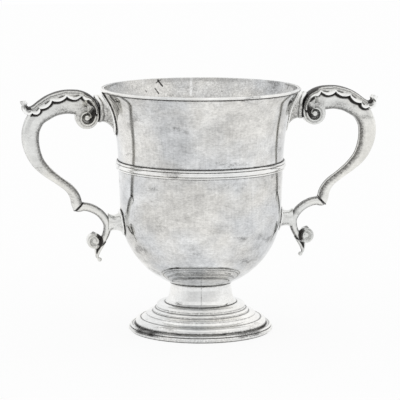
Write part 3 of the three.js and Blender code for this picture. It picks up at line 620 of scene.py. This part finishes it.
def past_mitre(x, z):
    """How far a place lies above the mitre's plane."""
    return (x - MITRE[0]) * ABOVE_MITRE[0] + (z - MITRE[1]) * ABOVE_MITRE[1]


def grip_field(x, y, z):
    """The whole grip with its volute, as one body."""
    share, off = GRIP_LINE.nearest(x, z)
    bar = oval(off, y, grip_deep(share), grip_wide(share), GRIP_SQUARENESS)
    r, angle = polar(VOLUTE, x, z)
    drum = within(r - volute_outline(angle), np.abs(y) - volute_relief(r, angle)[0], 0.9)
    return within(both(bar, drum, 0.8), -past_mitre(x, z), 0.15)


# Places from the back of the C-scroll, and the half depth there
SCROLL_STATIONS = (
    (14.5, 10.4, 2.6), (10.9, 9.7, 2.6), (6.6, 7.6, 2.5), (2.9, 4.3, 2.5), (0.3, -0.2, 2.4),
    (0.2, -4.2, 2.3), (1.6, -8.6, 2.1), (4.1, -12.2, 1.9), (8.4, -14.1, 1.4),
)
SCROLL_LINE = Line([MITRE + 2.5 * ABOVE_MITRE, MITRE] + [LOWER_BACK + s[:2] for s in SCROLL_STATIONS])


def scroll_deep(share):
    halves = [3.6, 3.3] + [s[2] for s in SCROLL_STATIONS]
    return np.interp(share, SCROLL_LINE.places[:: Line.STEPS], halves)


CURL_SPIRAL = ((200, 290, 380, 470, 560, 620), (4.3, 3.9, 3.3, 2.8, 2.2, 1.7))


def curl_relief(r, angle):
    """Half width of the curl at a place on its face, how deep the place lies in the hollow, and
    how near it is to the ridge."""
    bead = spiral_relief(r, angle, CURL_SPIRAL)
    hollow = ramp(r, 1.2, 2.2) * (1 - bead) * (1 - ramp(r, 3.9, 4.6))
    recess = ramp(r, 2.4, 3.1) * ramp(np.cos(np.radians(angle - 175)), 0.15, 0.75)
    recess = recess * (1 - ramp(r, 4.9, 5.6))
    eye = 0.5 * peak(r, 0, 1.1, 4)
    half = CURL_HALF_WIDTH - 0.2 + 0.35 * bead - np.maximum(0.7 * hollow, 2.0 * recess) + eye
    return half, np.maximum(0.35 * hollow, recess), np.maximum(bead, eye) * (1 - recess)


def scroll_field(x, y, z):
    """The C-scroll with its curl."""
    share, off = SCROLL_LINE.nearest(x, z)
    wide = size_along([(0, 3.7), (0.15, SCROLL_HALF_WIDTH), (1, SCROLL_HALF_WIDTH - 0.4)], share)
    bar = oval(off, y, scroll_deep(share), wide, SCROLL_SQUARENESS)
    r, angle = polar(CURL, x, z)
    drum = within(r - CURL_RADIUS, np.abs(y) - curl_relief(r, angle)[0], 0.7)
    knob_at = CURL + np.array((0.62, 4.28))
    knob = np.sqrt((x - knob_at[0]) ** 2 + (z - knob_at[1]) ** 2 + (y * 0.45) ** 2) - 1.3
    return within(both(both(bar, drum, 0.6), knob, 0.3), past_mitre(x, z) + 0.35, 0.15)


def on_both_sides(names, nodes, points, faces, dark, sharp=50):
    """The same piece on the right and, turned half round, on the left, where its name and node
    can differ."""
    made = []
    for side, turn, name, node in zip(("right_", "left_"), (1, -1), names, nodes):
        turned = points * (turn, turn, 1)
        piece = new_piece(side + name, turned, faces.tolist(), side + node, sharp)
        set_tarnish_and_shade(piece, dark)
        made.append(piece)
    return made


def grip_tarnish_and_shade(points):
    """Painted shade in the volute's hollow and throat, outside its ridge, along the grip's sides and
    under the leaf's edge, a painted highlight on the ridge, a worn patch, and dark joints at the seam,
    the mitre and the socket."""
    x, y, z = points.T
    aside = np.abs(y)
    r, angle = polar(VOLUTE, x, z)
    hollow, rim, ridge = volute_relief(r, angle)[1:]
    off_volute = r - volute_outline(angle)
    on_face = ramp(aside, 1.5, 2.5) * (r < 12)
    cup_side = ramp(np.cos(np.radians(angle - 170)), -0.3, 0.8)
    # Painted shade in the volute's hollow, deeper on the cup side, and a painted highlight on the ridge.
    volute = (ramp(hollow, 0.1, 0.9) * mix(0.68, 1, cup_side) - ridge) * on_face
    throat = peak(x, VOLUTE[0] + 1.5, 4.5) * peak(z, VOLUTE[1] + 5.8, 2.6) * on_face * (ridge < 0.3)
    share, off = GRIP_LINE.nearest(x, z)
    deep = grip_deep(share)
    clear = ramp(off_volute, -0.2, 0.6)
    inner_side = ramp(-off, deep - 3.8, deep - 0.8) * ramp(aside, 1.5, 2.3)
    outer_side = ramp(off, deep - 0.6, deep - 0.1)
    seam = (1 - ramp(aside, 0.5, 1.3)) * (off < 0)
    worn = peak(x, 86, 5) * peak(z, 139.5, 2.6) * ramp(aside, 2.2, 3.2)
    return most(
        volute,
        0.45 * throat,
        0.3 * rim * (aside > 3),
        0.62 * inner_side * clear,
        0.3 * outer_side * clear,
        0.85 * seam * clear,
        0.4 * worn,
        # Painted shadow under the leaf's edge.
        ramp(closeness(points, LEAF_EDGE[::2], 1.7), 0.25, 0.5),
        1 - ramp(past_mitre(x, z), 0.35, 0.75),
        ramp(off_volute, -0.5, -0.05) * ((angle > 120) & (angle < 200)),
    )


def scroll_tarnish_and_shade(points):
    """Painted shade in the curl's hollow, along the arm's edges and where the hook leaves, a painted
    highlight on the curl's ridge, and a dark joint at the mitre.
    """
    x, y, z = points.T
    r, angle = polar(CURL, x, z)
    hollow, ridge = curl_relief(r, angle)[1:]
    curl = (hollow - 0.8 * ridge) * ramp(np.abs(y), 0.5, 1.2) * (r < 5.4)
    share, off = SCROLL_LINE.nearest(x, z)
    deep = scroll_deep(share)
    arm = 0.66 * ramp(np.abs(off), deep - 1.7, deep - 0.2) * (r > CURL_RADIUS)
    at_hook = 0.9 * (1 - ramp(drop_field(x, y, z), 0.2, 0.7))
    return most(curl, arm, ramp(past_mitre(x, z), -1.1, -0.7), at_hook)


def make_grips():
    """Both halves of both grips. The right front half turned half round is the left back half."""
    made = []
    for facing, *ends in ((1, "front", "back"), (-1, "back", "front")):
        low, high = sorted((-6.8 * facing, 0.6 * facing))

        def half(x, y, z):
            return within(grip_field(x, y, z), facing * y + 0.02, 0.1)

        points, faces = net(half, (62, low, 76.5), (112.6, high, 153), 0.34)
        names = [f"grip_half_{end}" for end in ends]
        nodes = [f"grip_{end}" for end in ends]
        made += on_both_sides(names, nodes, points, faces, grip_tarnish_and_shade(points))
    return made


def section_point(angle, squareness):
    """A point of a squarish section, as shares of its half depth and half width."""
    up, across = np.cos(angle), np.sin(angle)
    power = 2 / squareness
    return np.sign(up) * np.abs(up) ** power, np.sign(across) * np.abs(across) ** power


LEAF_START = 158  # degrees round the volute
LEAF_LEAVES = 0.3  # share of the grip's length where the tip leaves it
LEAF_FREE = 0.84  # share of the leaf's length where it stands free of the grip
LEAF_NOTCHES = (75.5, 83.5, 91.7, 98.5, 104.3)  # distances from the axis, at the edge
LEAF_TIP = (6.1, 4.0, 0.9)  # reach, rise and dip of the curled tip
LEAF_BODY = 1.4


def leaf_line():
    points = []
    for share in (0, 0.3, 0.6, 0.9):
        angle = mix(LEAF_START, 90, share)
        turn = math.radians(angle)
        away = np.array((math.cos(turn), math.sin(turn)))
        points.append(VOLUTE + away * (volute_outline(angle) + 0.1))
    for share in np.linspace(0.06, LEAF_LEAVES, 7):
        points.append(GRIP_LINE.at(share) + GRIP_LINE.normal(share) * (grip_deep(share) + 0.1))
    leave = points[-1]
    reach, rise, dip = LEAF_TIP
    for out, up in ((0.45, -dip), (0.8, rise * 0.1), (1, rise)):
        points.append(leave + (out * reach, up))
    return Line(points)


LEAF_LINE = leaf_line()


def leaf_places():
    """Shares of the leaf's length where its notches lie, from its root to its tip."""
    along = np.linspace(0, 1, 400)
    line = LEAF_LINE.at(along) - LEAF_LINE.normal(along) * 4.5
    rising = np.maximum.accumulate(line[:, 0])
    return np.interp(LEAF_NOTCHES, rising, along)


def leaf_lobe(share):
    """Which lobe a place belongs to and how far along it: 1.25 is a quarter into the second."""
    marks = leaf_places()
    before, after = 2 * marks[0] - marks[1], 2 * marks[-1] - marks[-2]
    stations = np.concatenate(((2 * before - marks[0], before), marks, (after, 2 * after - marks[-1])))
    return np.interp(share, stations, np.arange(len(stations)) - 1.0)


def leaf_grid(lengthwise=260, across=96):
    """Points of the leaf's outer and inner faces, and how much painted shade and painted highlight each
    has.
    """
    share = np.linspace(0, 1, lengthwise + 1)[:, None]
    side = np.linspace(-1, 1, across + 1)[None]
    line, normal = LEAF_LINE.at(share), LEAF_LINE.normal(share)
    on_leaf = np.minimum(share / LEAF_FREE, 1)
    on_grip = on_leaf * LEAF_LEAVES
    free = ramp(share, LEAF_FREE, 1)
    from_volute, round_volute = polar(VOLUTE, line[..., 0], line[..., 1])
    on_volute = 1 - ramp(line[..., 0] - VOLUTE[0], 0, VOLUTE_RADIUS)
    deep = (grip_deep(on_grip) + 0.1) * mix(1, 0.5, free)
    wide = (mix(5.35, VOLUTE_HALF_WIDTH + 0.4, on_volute) + 0.1) * mix(1, 0.42, free)
    squareness = mix(GRIP_SQUARENESS, 5, on_volute)
    lobe = leaf_lobe(share)
    wave = np.abs(np.sin(math.pi * lobe)) ** 0.55
    wrap = np.radians(mix(mix(54, 66, on_leaf), mix(75, 80, on_leaf), wave))
    ridge = np.interp(round_volute, *VOLUTE_SPIRAL) - 0.3
    face = np.clip(1 - (from_volute - ridge) / deep, 0.05, 1) ** (squareness / 2)
    wrap = mix(wrap, np.arccos(face), ramp(round_volute, 80, 96) * (round_volute < 270))
    angle = side * wrap
    up, out = section_point(angle, squareness)
    edge = np.abs(side)
    inside = (lobe + 0.03) % 1
    rolled = peak(edge, 1, 0.15)
    crest_edge = mix(0.22, 0.4, on_volute)
    crest = (1 - ramp(edge, crest_edge, crest_edge + 0.12)) * mix(0.9, 1, on_volute)
    shoulder = peak(edge, 0.48, 0.06)
    streak = peak(edge, 0.64, 0.05) * mix(0.45, 1, np.abs(on_leaf - 0.45) * 2)
    vein = ramp(inside, 0.05, 0.25) * (1 - ramp(inside, 0.5, 0.68))
    vein = vein * peak(edge, 0.76, 0.075) * (1 - free) * (1 - 0.5 * on_volute)
    root = mix(0.25, 1, ramp(share, 0, 0.14))
    relief = 0.75 * rolled - 0.6 * shoulder - 0.3 * streak - 0.6 * vein + 0.2 * peak(edge, 0, 0.1)
    swell = 0.35 * np.sin(math.pi * (inside + 0.35 * (1 - edge))) * ramp(edge, 0.3, 0.8)
    lift = 0.9 * edge**3 * (1 - on_volute)
    knob = 0.9 * peak(free, 0.9, 0.09) * (1 - edge**2)
    body = LEAF_BODY * root * (1 - 0.25 * free) - 0.3 * edge
    top = body + (relief + swell) * mix(0.6, 1, root) + lift + knob
    under = lift - 0.25 * (1 - edge) * (1 - free)
    faces = []
    for height in (top, under):
        rise = (up - 1) * deep + height * np.cos(angle)
        x = line[..., 0] + normal[..., 0] * rise
        z = line[..., 1] + normal[..., 1] * rise
        y = out * wide + height * np.sin(angle)
        faces.append(np.stack(np.broadcast_arrays(x, y, z), 2))
    shaded = ramp(edge, 0.15, 0.35) * (1 - ramp(edge, 0.75, 0.9))
    hollow = ramp(free, 0.02, 0.12) * (1 - ramp(free, 0.7, 0.8))
    # Painted shade in the veins, along the crest, shoulder and streaks and in the tip's hollow, and a
    # painted highlight on the rolled edge and the free tip.
    dark = most(
        vein,
        0.2 * shaded,
        crest,
        0.85 * shoulder,
        streak * mix(0.6, 0.9, on_volute),
        0.9 * on_volute * peak(edge, 0.68, 0.09),
        hollow * (1 - ramp(edge, 0.5, 0.75)),
    )
    bright = np.maximum(peak(edge, 1, 0.13), ramp(free, 0.8, 0.88))
    return faces[0], faces[1], dark - bright


def shell_faces(rows, columns):
    """Faces of a closed shell between two grids, the outer one first."""
    top = np.arange(rows * columns).reshape(rows, columns)
    corners = (top[:-1, :-1], top[1:, :-1], top[1:, 1:], top[:-1, 1:])
    faces = [np.stack(corners, -1).reshape(-1, 4)]
    faces.append(faces[0][:, [0, 3, 2, 1]] + top.size)
    for edge in (top[:, 0], top[::-1, -1], top[-1], top[0, ::-1]):
        under = edge + top.size
        faces.append(np.stack((edge[:-1], under[:-1], under[1:], edge[1:]), -1))
    return np.concatenate(faces)


LEAF_TOP, LEAF_UNDER, LEAF_DARK = leaf_grid()
LEAF_EDGE = np.concatenate((LEAF_UNDER[:, 0], LEAF_UNDER[:, -1]))


def make_leaves():
    rows, columns = LEAF_TOP.shape[:2]
    points = np.concatenate((LEAF_TOP.reshape(-1, 3), LEAF_UNDER.reshape(-1, 3)))
    # The underside is painted dark as shade, less so near the tip.
    under = np.ones((rows, columns))
    under[-rows // 12 :] = 0.2
    dark = np.concatenate((LEAF_DARK.ravel(), under.ravel()))
    return on_both_sides(("leaf",) * 2, ("leaf_cap",) * 2, points, shell_faces(rows, columns), dark, 70)


def closeness(points, marks, reach):
    """1 at the marks and less away from them, to 0 at about twice the reach."""
    found = np.empty(len(points))
    for few in in_slices(len(points)):
        gap = ((points[few, None] - marks) ** 2).sum(2).min(1)
        found[few] = np.exp(-gap / reach**2)
    return found


# Sockets on the wall

PLATE_TOP = RIM_Z - RIM_WIRE_HEIGHT - GAP
PLATE_HEIGHT = 26.6
PLATE_HALF_WIDTH = 6.7
PLATE_THICKNESS = 1.2
NECK_TOP = PLATE_TOP - 1.8
NECK_LOW = NECK_TOP - 16.4
NECK_HALF_WIDTH = 5.0
LOWER_PLATE_RADIUS = 7.9
LOWER_NECK_RADIUS = 4.8
UPPER_Z = (PLATE_TOP - PLATE_HEIGHT - 1, PLATE_TOP + 0.8)
LOWER_Z = (LOWER_BACK[1] - 8.6, LOWER_BACK[1] + 8.6)
PLATE_SQUARENESS = 2.2
WALL_TOUCH = 0.03  # how far a socket stays off the wall
LEAF_ROOM = 1.75  # for the leaf between volute and socket

# Height of the middle, half height and half width
UPPER_PLATE = (PLATE_TOP - PLATE_HEIGHT / 2, PLATE_HEIGHT / 2, PLATE_HALF_WIDTH)
LOWER_PLATE = (LOWER_BACK[1], LOWER_PLATE_RADIUS, LOWER_PLATE_RADIUS)


def off_wall(x, y, z):
    return np.hypot(x, y) - wall_radius(z)


def off_scroll(x, z):
    """Distance from the volute, or from the leaf where that lies round it."""
    r, angle = polar(VOLUTE, x, z)
    return r - volute_outline(angle) - LEAF_ROOM * (1 - ramp(angle, 125, 160)) * (angle < 200)


def plate_shape(y, z, plate):
    centre, half_height, half_width = plate
    return oval(z - centre, y, half_height, half_width, PLATE_SQUARENESS)


def on_plate(x, y, z, neck, plate, thickness, soft):
    """The neck of a socket with its plate, which lies on the wall and has a thicker edge."""
    off, shape = off_wall(x, y, z), plate_shape(y, z, plate)
    thick = thickness + GAP - 0.25 * ramp(-shape, 0.6, 1.6)
    slab = within(within(shape, off - thick, 0.35), WALL_TOUCH - off, 0.05)
    return both(within(neck, WALL_TOUCH - off, 0.05), slab, soft)


def upper_field(x, y, z):
    flare = np.clip(1 - off_wall(x, y, z) / 7.5, 0, 1) ** 2.2
    low = mix(NECK_LOW, PLATE_TOP - PLATE_HEIGHT + 0.9, flare)
    high = mix(NECK_TOP, PLATE_TOP - 0.3, flare)
    half = mix(NECK_HALF_WIDTH, PLATE_HALF_WIDTH - 0.6, flare)
    off_rim = off_scroll(x, z) - 0.28
    band = 0.35 * peak(off_rim, 1.5, 0.9, 4) - 0.15 * peak(off_rim, 3.0, 0.5)
    neck = oval(z - (low + high) / 2, y, (high - low) / 2 + band, half + band, 2.3)
    body = on_plate(x, y, z, neck, UPPER_PLATE, PLATE_THICKNESS, 0.4)
    return within(within(body, -off_rim, 0.25), x - VOLUTE[0] + VOLUTE_RADIUS * 0.7, 0.1)


def lower_field(x, y, z):
    flare = np.clip(1 - off_wall(x, y, z) / 4.6, 0, 1) ** 1.8
    radius = mix(LOWER_NECK_RADIUS, LOWER_PLATE_RADIUS - 0.9, flare)
    spread = np.clip(1 - (LOWER_BACK[0] - x) / 3.6, 0, 1) ** 2
    up = z - LOWER_BACK[1] + 0.9 * spread
    neck = oval(up, y, radius + 2.6 * spread, radius - 0.8 * spread, 2.0)
    body = on_plate(x, y, z, neck, LOWER_PLATE, 1.1, 0.3)
    body = within(body, x - LOWER_BACK[0] + 0.4, 0.2)
    return within(body, 0.28 - scroll_field(x, y, z), 0.15)


DROP_START = LOWER_BACK + (3.4, -12.4)
DROP_LENGTH = 10.6


def drop_line(*offsets):
    return Line([DROP_START + (out, -down * DROP_LENGTH) for out, down in offsets])


DROP_HOOK = drop_line((-1.5, -0.07), (-0.3, 0.16), (1.2, 0.41), (2.5, 0.66), (3.0, 0.83), (1.5, 1))
DROP_TIP = drop_line((3.5, 0.16), (4.0, 0.43), (3.8, 0.66), (2.9, 0.9))
DROP_WEB = drop_line((2.1, 0.1), (2.5, 0.43), (3.0, 0.78))


def drop_field(x, y, z):
    """The hanging leaf: two edges with a sunk web between them, and a bead."""
    share, off = DROP_HOOK.nearest(x, z)
    strip = oval(off, y, mix(1.2, 0.75, share), mix(2.0, 1.2, share), 2.0)
    share, off = DROP_TIP.nearest(x, z)
    tip = oval(off, y, mix(0.65, 0.5, share), mix(1.5, 0.9, share), 2.0)
    share, off = DROP_WEB.nearest(x, z)
    web = oval(off, y, mix(1.7, 0.7, share), 0.6, 2.5)
    bead_at = DROP_HOOK.points[-1]
    bead = np.sqrt((x - bead_at[0]) ** 2 + (z - bead_at[1]) ** 2 + y**2) - 1.4
    body = both(both(both(strip, tip, 0.2), web, 0.1), bead, 0.3)
    return within(body, 0.2 - scroll_field(x, y, z), 0.1)


def upper_tarnish_and_shade(points):
    x, y, z = points.T
    off, off_rim = off_wall(x, y, z), off_scroll(x, z)
    # Dark joints at the volute and the wall, painted shade in the neck's groove, tarnish over the
    # socket, and a painted highlight along the plate's edge.
    painted_highlight = ramp(off, 0.8, 1.1) * ramp(plate_shape(y, z, UPPER_PLATE), -1.1, -0.5)
    at_volute, at_wall = 1 - ramp(off_rim, 0.7, 1.5), 1 - ramp(off, 0.35, 0.75)
    return most(at_volute, 0.85 * peak(off_rim, 3.0, 0.45), 0.38 * (1 - painted_highlight), at_wall) - painted_highlight


def lower_joint_and_highlight(points):
    x, y, z = points.T
    off = off_wall(x, y, z)
    # A dark joint at the wall, and a painted highlight round the plate's rim.
    painted_highlight = peak(off, 1.25, 0.3) * (np.hypot(y, z - LOWER_BACK[1]) > LOWER_PLATE_RADIUS - 1)
    return np.where(off < 0.75, 1 - ramp(off, 0.4, 0.75), -painted_highlight)


def drop_tarnish_and_shade(points):
    """Painted shade on the sunk web and where the hook meets the scroll."""
    x, y, z = points.T
    share, off = DROP_WEB.nearest(x, z)
    web = (1 - ramp(np.abs(y), 0.7, 1.0)) * (np.abs(off) < mix(2.1, 1.1, share))
    return np.maximum(web, 1 - ramp(scroll_field(x, y, z), 0.2, 0.7))


def make_sculpted():
    """The pieces of a handle that are alike on both sides."""
    made = []
    for name, node, field, x, half_y, z, step, tarnish_and_shade in (
        ("c_scroll", "lower_scroll", scroll_field, (55, 80), 4.6, (51, 83), 0.3, scroll_tarnish_and_shade),
        ("upper_neck", "upper_socket", upper_field, (48, 68.5), 7.4, UPPER_Z, 0.36, upper_tarnish_and_shade),
        ("lower_neck", "lower_socket", lower_field, (46, 59.5), 8.4, LOWER_Z, 0.33, lower_joint_and_highlight),
        ("hook", "scroll_drop", drop_field, (59, 70.5), 2.4, (43.6, 58.5), 0.22, drop_tarnish_and_shade),
    ):
        points, faces = net(field, (x[0], -half_y, z[0]), (x[1], half_y, z[1]), step)
        made += on_both_sides((name, name), (node, node), points, faces, tarnish_and_shade(points))
    return made


def plate_outlines():
    """Points on the wall round all four plates."""
    around = np.linspace(0, 2 * math.pi, 160, endpoint=False)
    marks = []
    for centre, half_height, half_width in (UPPER_PLATE, LOWER_PLATE):
        up, across = section_point(around, PLATE_SQUARENESS)
        z, y = centre + up * (half_height + 0.2), across * (half_width + 0.2)
        x = np.sqrt(wall_radius(z) ** 2 - y**2)
        marks += [np.stack((x, y, z), 1), np.stack((-x, y, z), 1)]
    return np.concatenate(marks)


# Materials


class Nodes:
    """Short calls for the shader nodes of a material or a world."""

    def __init__(self, owner):
        owner.use_nodes = True
        self.tree = owner.node_tree
        self.tree.nodes.clear()

    def add(self, kind, inputs=(), **settings):
        node = self.tree.nodes.new("ShaderNode" + kind)
        for name, value in settings.items():
            setattr(node, name, value)
        for name, value in dict(inputs).items():
            if isinstance(value, bpy.types.NodeSocket):
                self.tree.links.new(value, node.inputs[name])
            else:
                node.inputs[name].default_value = value
        return node

    def maths(self, operation, *values, clamp=False):
        inputs = dict(enumerate(values))
        return self.add("Math", inputs, operation=operation, use_clamp=clamp).outputs[0]

    def noise(self, vector, scale, detail=4.0, roughness=0.55):
        inputs = {"Vector": vector, "Scale": scale, "Detail": detail, "Roughness": roughness}
        return self.add("TexNoise", inputs).outputs["Fac"]

    def stretched(self, vector, scale):
        return self.add("Mapping", {"Vector": vector, "Scale": scale}).outputs["Vector"]

    def between(self, value, low, high, at_low=0.0, at_high=1.0):
        """From one value at low to another at high, and level beyond them."""
        inputs = {"Value": value, "From Min": low, "From Max": high, "To Min": at_low, "To Max": at_high}
        return self.add("MapRange", inputs).outputs["Result"]

    def vector(self, operation, *values, out="Value"):
        inputs = dict(enumerate(values))
        return self.add("VectorMath", inputs, operation=operation).outputs[out]

    def near_line(self, place, start, end, width):
        """1 on the line between two places given in millimetres, and 0 beyond its width."""
        start, end = Vector(start) * MM, Vector(end) * MM
        along = end - start
        from_start = self.vector("SUBTRACT", place, start, out="Vector")
        share = self.vector("DOT_PRODUCT", from_start, along)
        share = self.maths("DIVIDE", share, along.length_squared, clamp=True)
        foot = self.add("VectorMath", {0: along, "Scale": share}, operation="SCALE")
        gap = self.vector("DISTANCE", from_start, foot.outputs["Vector"])
        return self.between(gap, width * MM * 0.3, width * MM, 1.0, 0.0)

    def blend(self, share, a, b, how="MIX"):
        """Two colours mixed. Each is a socket or (red, green, blue)."""
        a, b = (c if isinstance(c, bpy.types.NodeSocket) else (*c, 1) for c in (a, b))
        inputs = {0: share, 6: a, 7: b}
        return self.add("Mix", inputs, data_type="RGBA", blend_type=how).outputs[2]


# The dark tone of tarnish and painted shade, and the tone of painted highlights
TARNISH_AND_SHADE = (0.035, 0.032, 0.03)
HIGHLIGHT_TONE = (0.94, 0.94, 0.93)


def silver(name, cool, warm, low_roughness, high_roughness, mottling=1.0, scratches=(), highlights=()):
    """Worn silver: patches of several sizes between a cool and a warm tone, fine scratches,
    tarnish and painted shade where the points hold them, and a painted highlight where the points or the
    highlight lines call for one."""
    material = bpy.data.materials.new(name)
    nodes = Nodes(material)
    maths, noise, blend = nodes.maths, nodes.noise, nodes.blend
    place = nodes.add("TexCoord").outputs["Object"]  # in metres
    lying = nodes.stretched(place, (1, 1, 2.2))
    upright = nodes.stretched(place, (1, 1, 0.1))
    drift = noise(place, 30.0, 2.0)
    cloud = noise(lying, 70.0, 6.0, 0.68)
    grain = noise(lying, 500.0, 4.0, 0.65)
    lines = noise(upright, 900.0, 1.0)
    light = 1.0
    for patches, depth in ((drift, 0.9), (cloud, 0.9), (grain, 0.9), (lines, 0.3)):
        rest = maths("SUBTRACT", light, depth * mottling / 2)
        light = maths("MULTIPLY_ADD", patches, depth * mottling, rest)
    warmth = nodes.between(noise(place, 24.0, 3.0), 0.4, 0.6)
    tone = blend(1.0, blend(warmth, cool, warm), light, "MULTIPLY")

    held = nodes.add("Attribute", attribute_name="tarnish_and_shade").outputs["Fac"]
    smudge = nodes.between(noise(lying, 46.0, 4.0), 0.6, 0.68)
    tarnish_and_shade = maths("MAXIMUM", held, maths("MULTIPLY", smudge, 0.34))
    for start, end, width, strength in scratches:
        mark = maths("MULTIPLY", nodes.near_line(place, start, end, width), strength)
        tarnish_and_shade = maths("MAXIMUM", tarnish_and_shade, mark)
    tarnish_and_shade = maths("MAXIMUM", tarnish_and_shade, 0.0)
    speckle = maths("SUBTRACT", noise(place, 1000.0, 2.0), 0.5)
    spread = maths("MULTIPLY", tarnish_and_shade, maths("SUBTRACT", 1.0, tarnish_and_shade))
    ragged = maths("MULTIPLY", maths("MULTIPLY", spread, 6.0), speckle)
    tarnished_and_shaded = maths("ADD", tarnish_and_shade, ragged, clamp=True)
    painted_highlight = maths("MULTIPLY", held, -1.0, clamp=True)
    for start, end, width in highlights:
        painted_highlight = maths("MAXIMUM", painted_highlight, nodes.near_line(place, start, end, width))
    # Tarnish and painted shade darken the tone, and painted highlights brighten it.
    colour = blend(tarnished_and_shaded, blend(painted_highlight, tone, HIGHLIGHT_TONE), TARNISH_AND_SHADE)
    rough = nodes.between(cloud, 0.35, 0.65, high_roughness, low_roughness)
    rough = maths("MAXIMUM", rough, maths("MULTIPLY", tarnished_and_shaded, 0.4))
    metal = maths("MULTIPLY_ADD", tarnished_and_shaded, -0.8, 1.0)
    dents = noise(place, 90.0, 1.0)
    bump = nodes.add("Bump", {"Height": dents, "Strength": 0.12, "Distance": 0.0004})
    looks = {
        "Base Color": colour,
        "Metallic": metal,
        "Roughness": rough,
        "Specular IOR Level": 0.15,
        "Normal": bump.outputs["Normal"],
    }
    shader = nodes.add("BsdfPrincipled", looks)
    nodes.add("OutputMaterial", {"Surface": shader.outputs["BSDF"]})
    return material


# Studio

CAMERA_DISTANCE = 1400.0
CAMERA_HEIGHT = 298.3
CAMERA_TURN = math.radians(9.5)  # how far the cup is turned, right handle away from the camera
CAMERA_PITCH = math.radians(8.80)
CAMERA_ASIDE = -0.43
FOCAL_PIXELS = 2281.0
PHOTO_PIXELS = 400
SENSOR = 36.0
FLOOR_HALF = 3.0  # metres
TO_CAMERA = Vector((-math.sin(CAMERA_TURN), -math.cos(CAMERA_TURN), 0))
RIGHTWARDS = Vector((math.cos(CAMERA_TURN), -math.sin(CAMERA_TURN), 0))


def seen_at(forward, rightward, height):
    """A place that far from the axis towards the camera and to the right in the picture."""
    return TO_CAMERA * forward + RIGHTWARDS * rightward + Vector((0, 0, height))


def make_camera():
    data = bpy.data.cameras.new("camera")
    data.sensor_width = SENSOR
    data.lens = FOCAL_PIXELS / PHOTO_PIXELS * SENSOR
    data.clip_start, data.clip_end = 0.1, 20
    camera = placed("camera", data)
    camera.location = seen_at(CAMERA_DISTANCE, CAMERA_ASIDE, CAMERA_HEIGHT) * MM
    camera.rotation_euler = (math.pi / 2 - CAMERA_PITCH, 0, -CAMERA_TURN)
    bpy.context.scene.camera = camera


def make_world():
    """A white room that is greyer round the camera, below the lamps overhead."""
    world = bpy.data.worlds.new("studio")
    bpy.context.scene.world = world
    nodes = Nodes(world)
    place = nodes.add("TexCoord").outputs["Generated"]
    facing = nodes.vector("DOT_PRODUCT", place, TO_CAMERA)
    height = nodes.add("SeparateXYZ", {"Vector": place}).outputs["Z"]
    front = nodes.between(facing, 0.2, 0.75, 1.0, 0.8)
    overhead = nodes.between(height, 0.36, 0.52)
    room = nodes.blend(overhead, front, (1.0, 1.0, 1.0))
    light = nodes.add("Background", {"Color": room})
    nodes.add("OutputWorld", {"Surface": light.outputs[0]})


def make_floor():
    """White paper that keeps a faint shadow, for the camera and for the metal."""
    mesh = bpy.data.meshes.new("floor")
    corners = [(x * FLOOR_HALF, y * FLOOR_HALF, 0) for x, y in ((-1, -1), (1, -1), (1, 1), (-1, 1))]
    mesh.from_pydata(corners, [], [(0, 1, 2, 3)])
    floor = placed("floor", mesh)
    material = bpy.data.materials.new("floor_paper")
    mesh.materials.append(material)
    nodes = Nodes(material)
    rays = nodes.add("LightPath").outputs
    seen = nodes.maths("MAXIMUM", rays["Is Camera Ray"], rays["Is Glossy Ray"])
    seen = nodes.maths("MAXIMUM", seen, rays["Is Transmission Ray"])
    paper = nodes.add("BsdfDiffuse", {"Color": (0.9, 0.9, 0.9, 1)})
    white = nodes.add("Emission", {"Color": (1, 1, 1, 1)})
    share = nodes.maths("MULTIPLY", seen, 0.88)
    mixed = nodes.add("MixShader", {0: share, 1: paper.outputs[0], 2: white.outputs[0]})
    nodes.add("OutputMaterial", {"Surface": mixed.outputs[0]})


# The model


def stem_line_mark(*ends, aside=0.4):
    """A dark line (start, end, width, strength) on the side of the stem that faces the camera,
    between two places given by radius and height."""
    start, end = (seen_at(math.sqrt(radius**2 - aside**2), aside, z) for radius, z in ends)
    return start, end, 0.5, 0.35


# A dark line down the stem where it faces the camera
STEM_LINE_MIDDLE = (19.6, DOME_TOP + 5.4)
STEM_LINE = (stem_line_mark((21.2, DOME_TOP + 0.9), STEM_LINE_MIDDLE), stem_line_mark(STEM_LINE_MIDDLE, (19.1, STEM_TOP)))

# Wear inside the bowl: (start, end, width, strength)
SCRATCHES = (
    ((-18.2, 56.5, 150.9), (-15.5, 56.2, 147.2), 0.9, 1.0),
    ((-19.4, 55.9, 149.4), (-16.5, 57.1, 150.9), 0.6, 0.8),
    ((-20.6, 53.9, 145.8), (-18.4, 52.9, 142.7), 0.7, 1.0),
    ((-27.1, 50.2, 144.7), (-26.7, 50.2, 144.3), 0.8, 0.8),
    ((22.4, 51.7, 143.5), (22.6, 51.7, 143.2), 0.7, 0.6),
    ((57.9, 13.4, 150.6), (57.2, 13.8, 147.0), 0.8, 0.6),
)
# A painted highlight streak: (start, end, width)
HIGHLIGHT_STREAK = (((3.8, 59.4, 151.3), (2.8, 55.3, 141.2), 1.3),)

wall_silver = silver(
    "wall_silver", (0.62, 0.63, 0.64), (0.68, 0.67, 0.645), 0.04, 0.13, 1.0, SCRATCHES, HIGHLIGHT_STREAK
)
turned_silver = silver("turned_silver", (0.83, 0.835, 0.83), (0.88, 0.87, 0.845), 0.06, 0.16, 0.45, STEM_LINE)
cast_silver = silver("cast_silver", (0.74, 0.745, 0.73), (0.80, 0.79, 0.75), 0.12, 0.24, 0.45)

make_bowl().data.materials.append(wall_silver)
for make in (make_rim_wire, make_girdle, make_foot_stem, make_foot_dome, make_foot_rim):
    make().data.materials.append(turned_silver)

for piece in make_grips() + make_leaves() + make_sculpted():
    piece.data.materials.append(cast_silver)

make_camera()
make_world()
make_floor()

bpy.context.scene.view_settings.view_transform = "Standard"
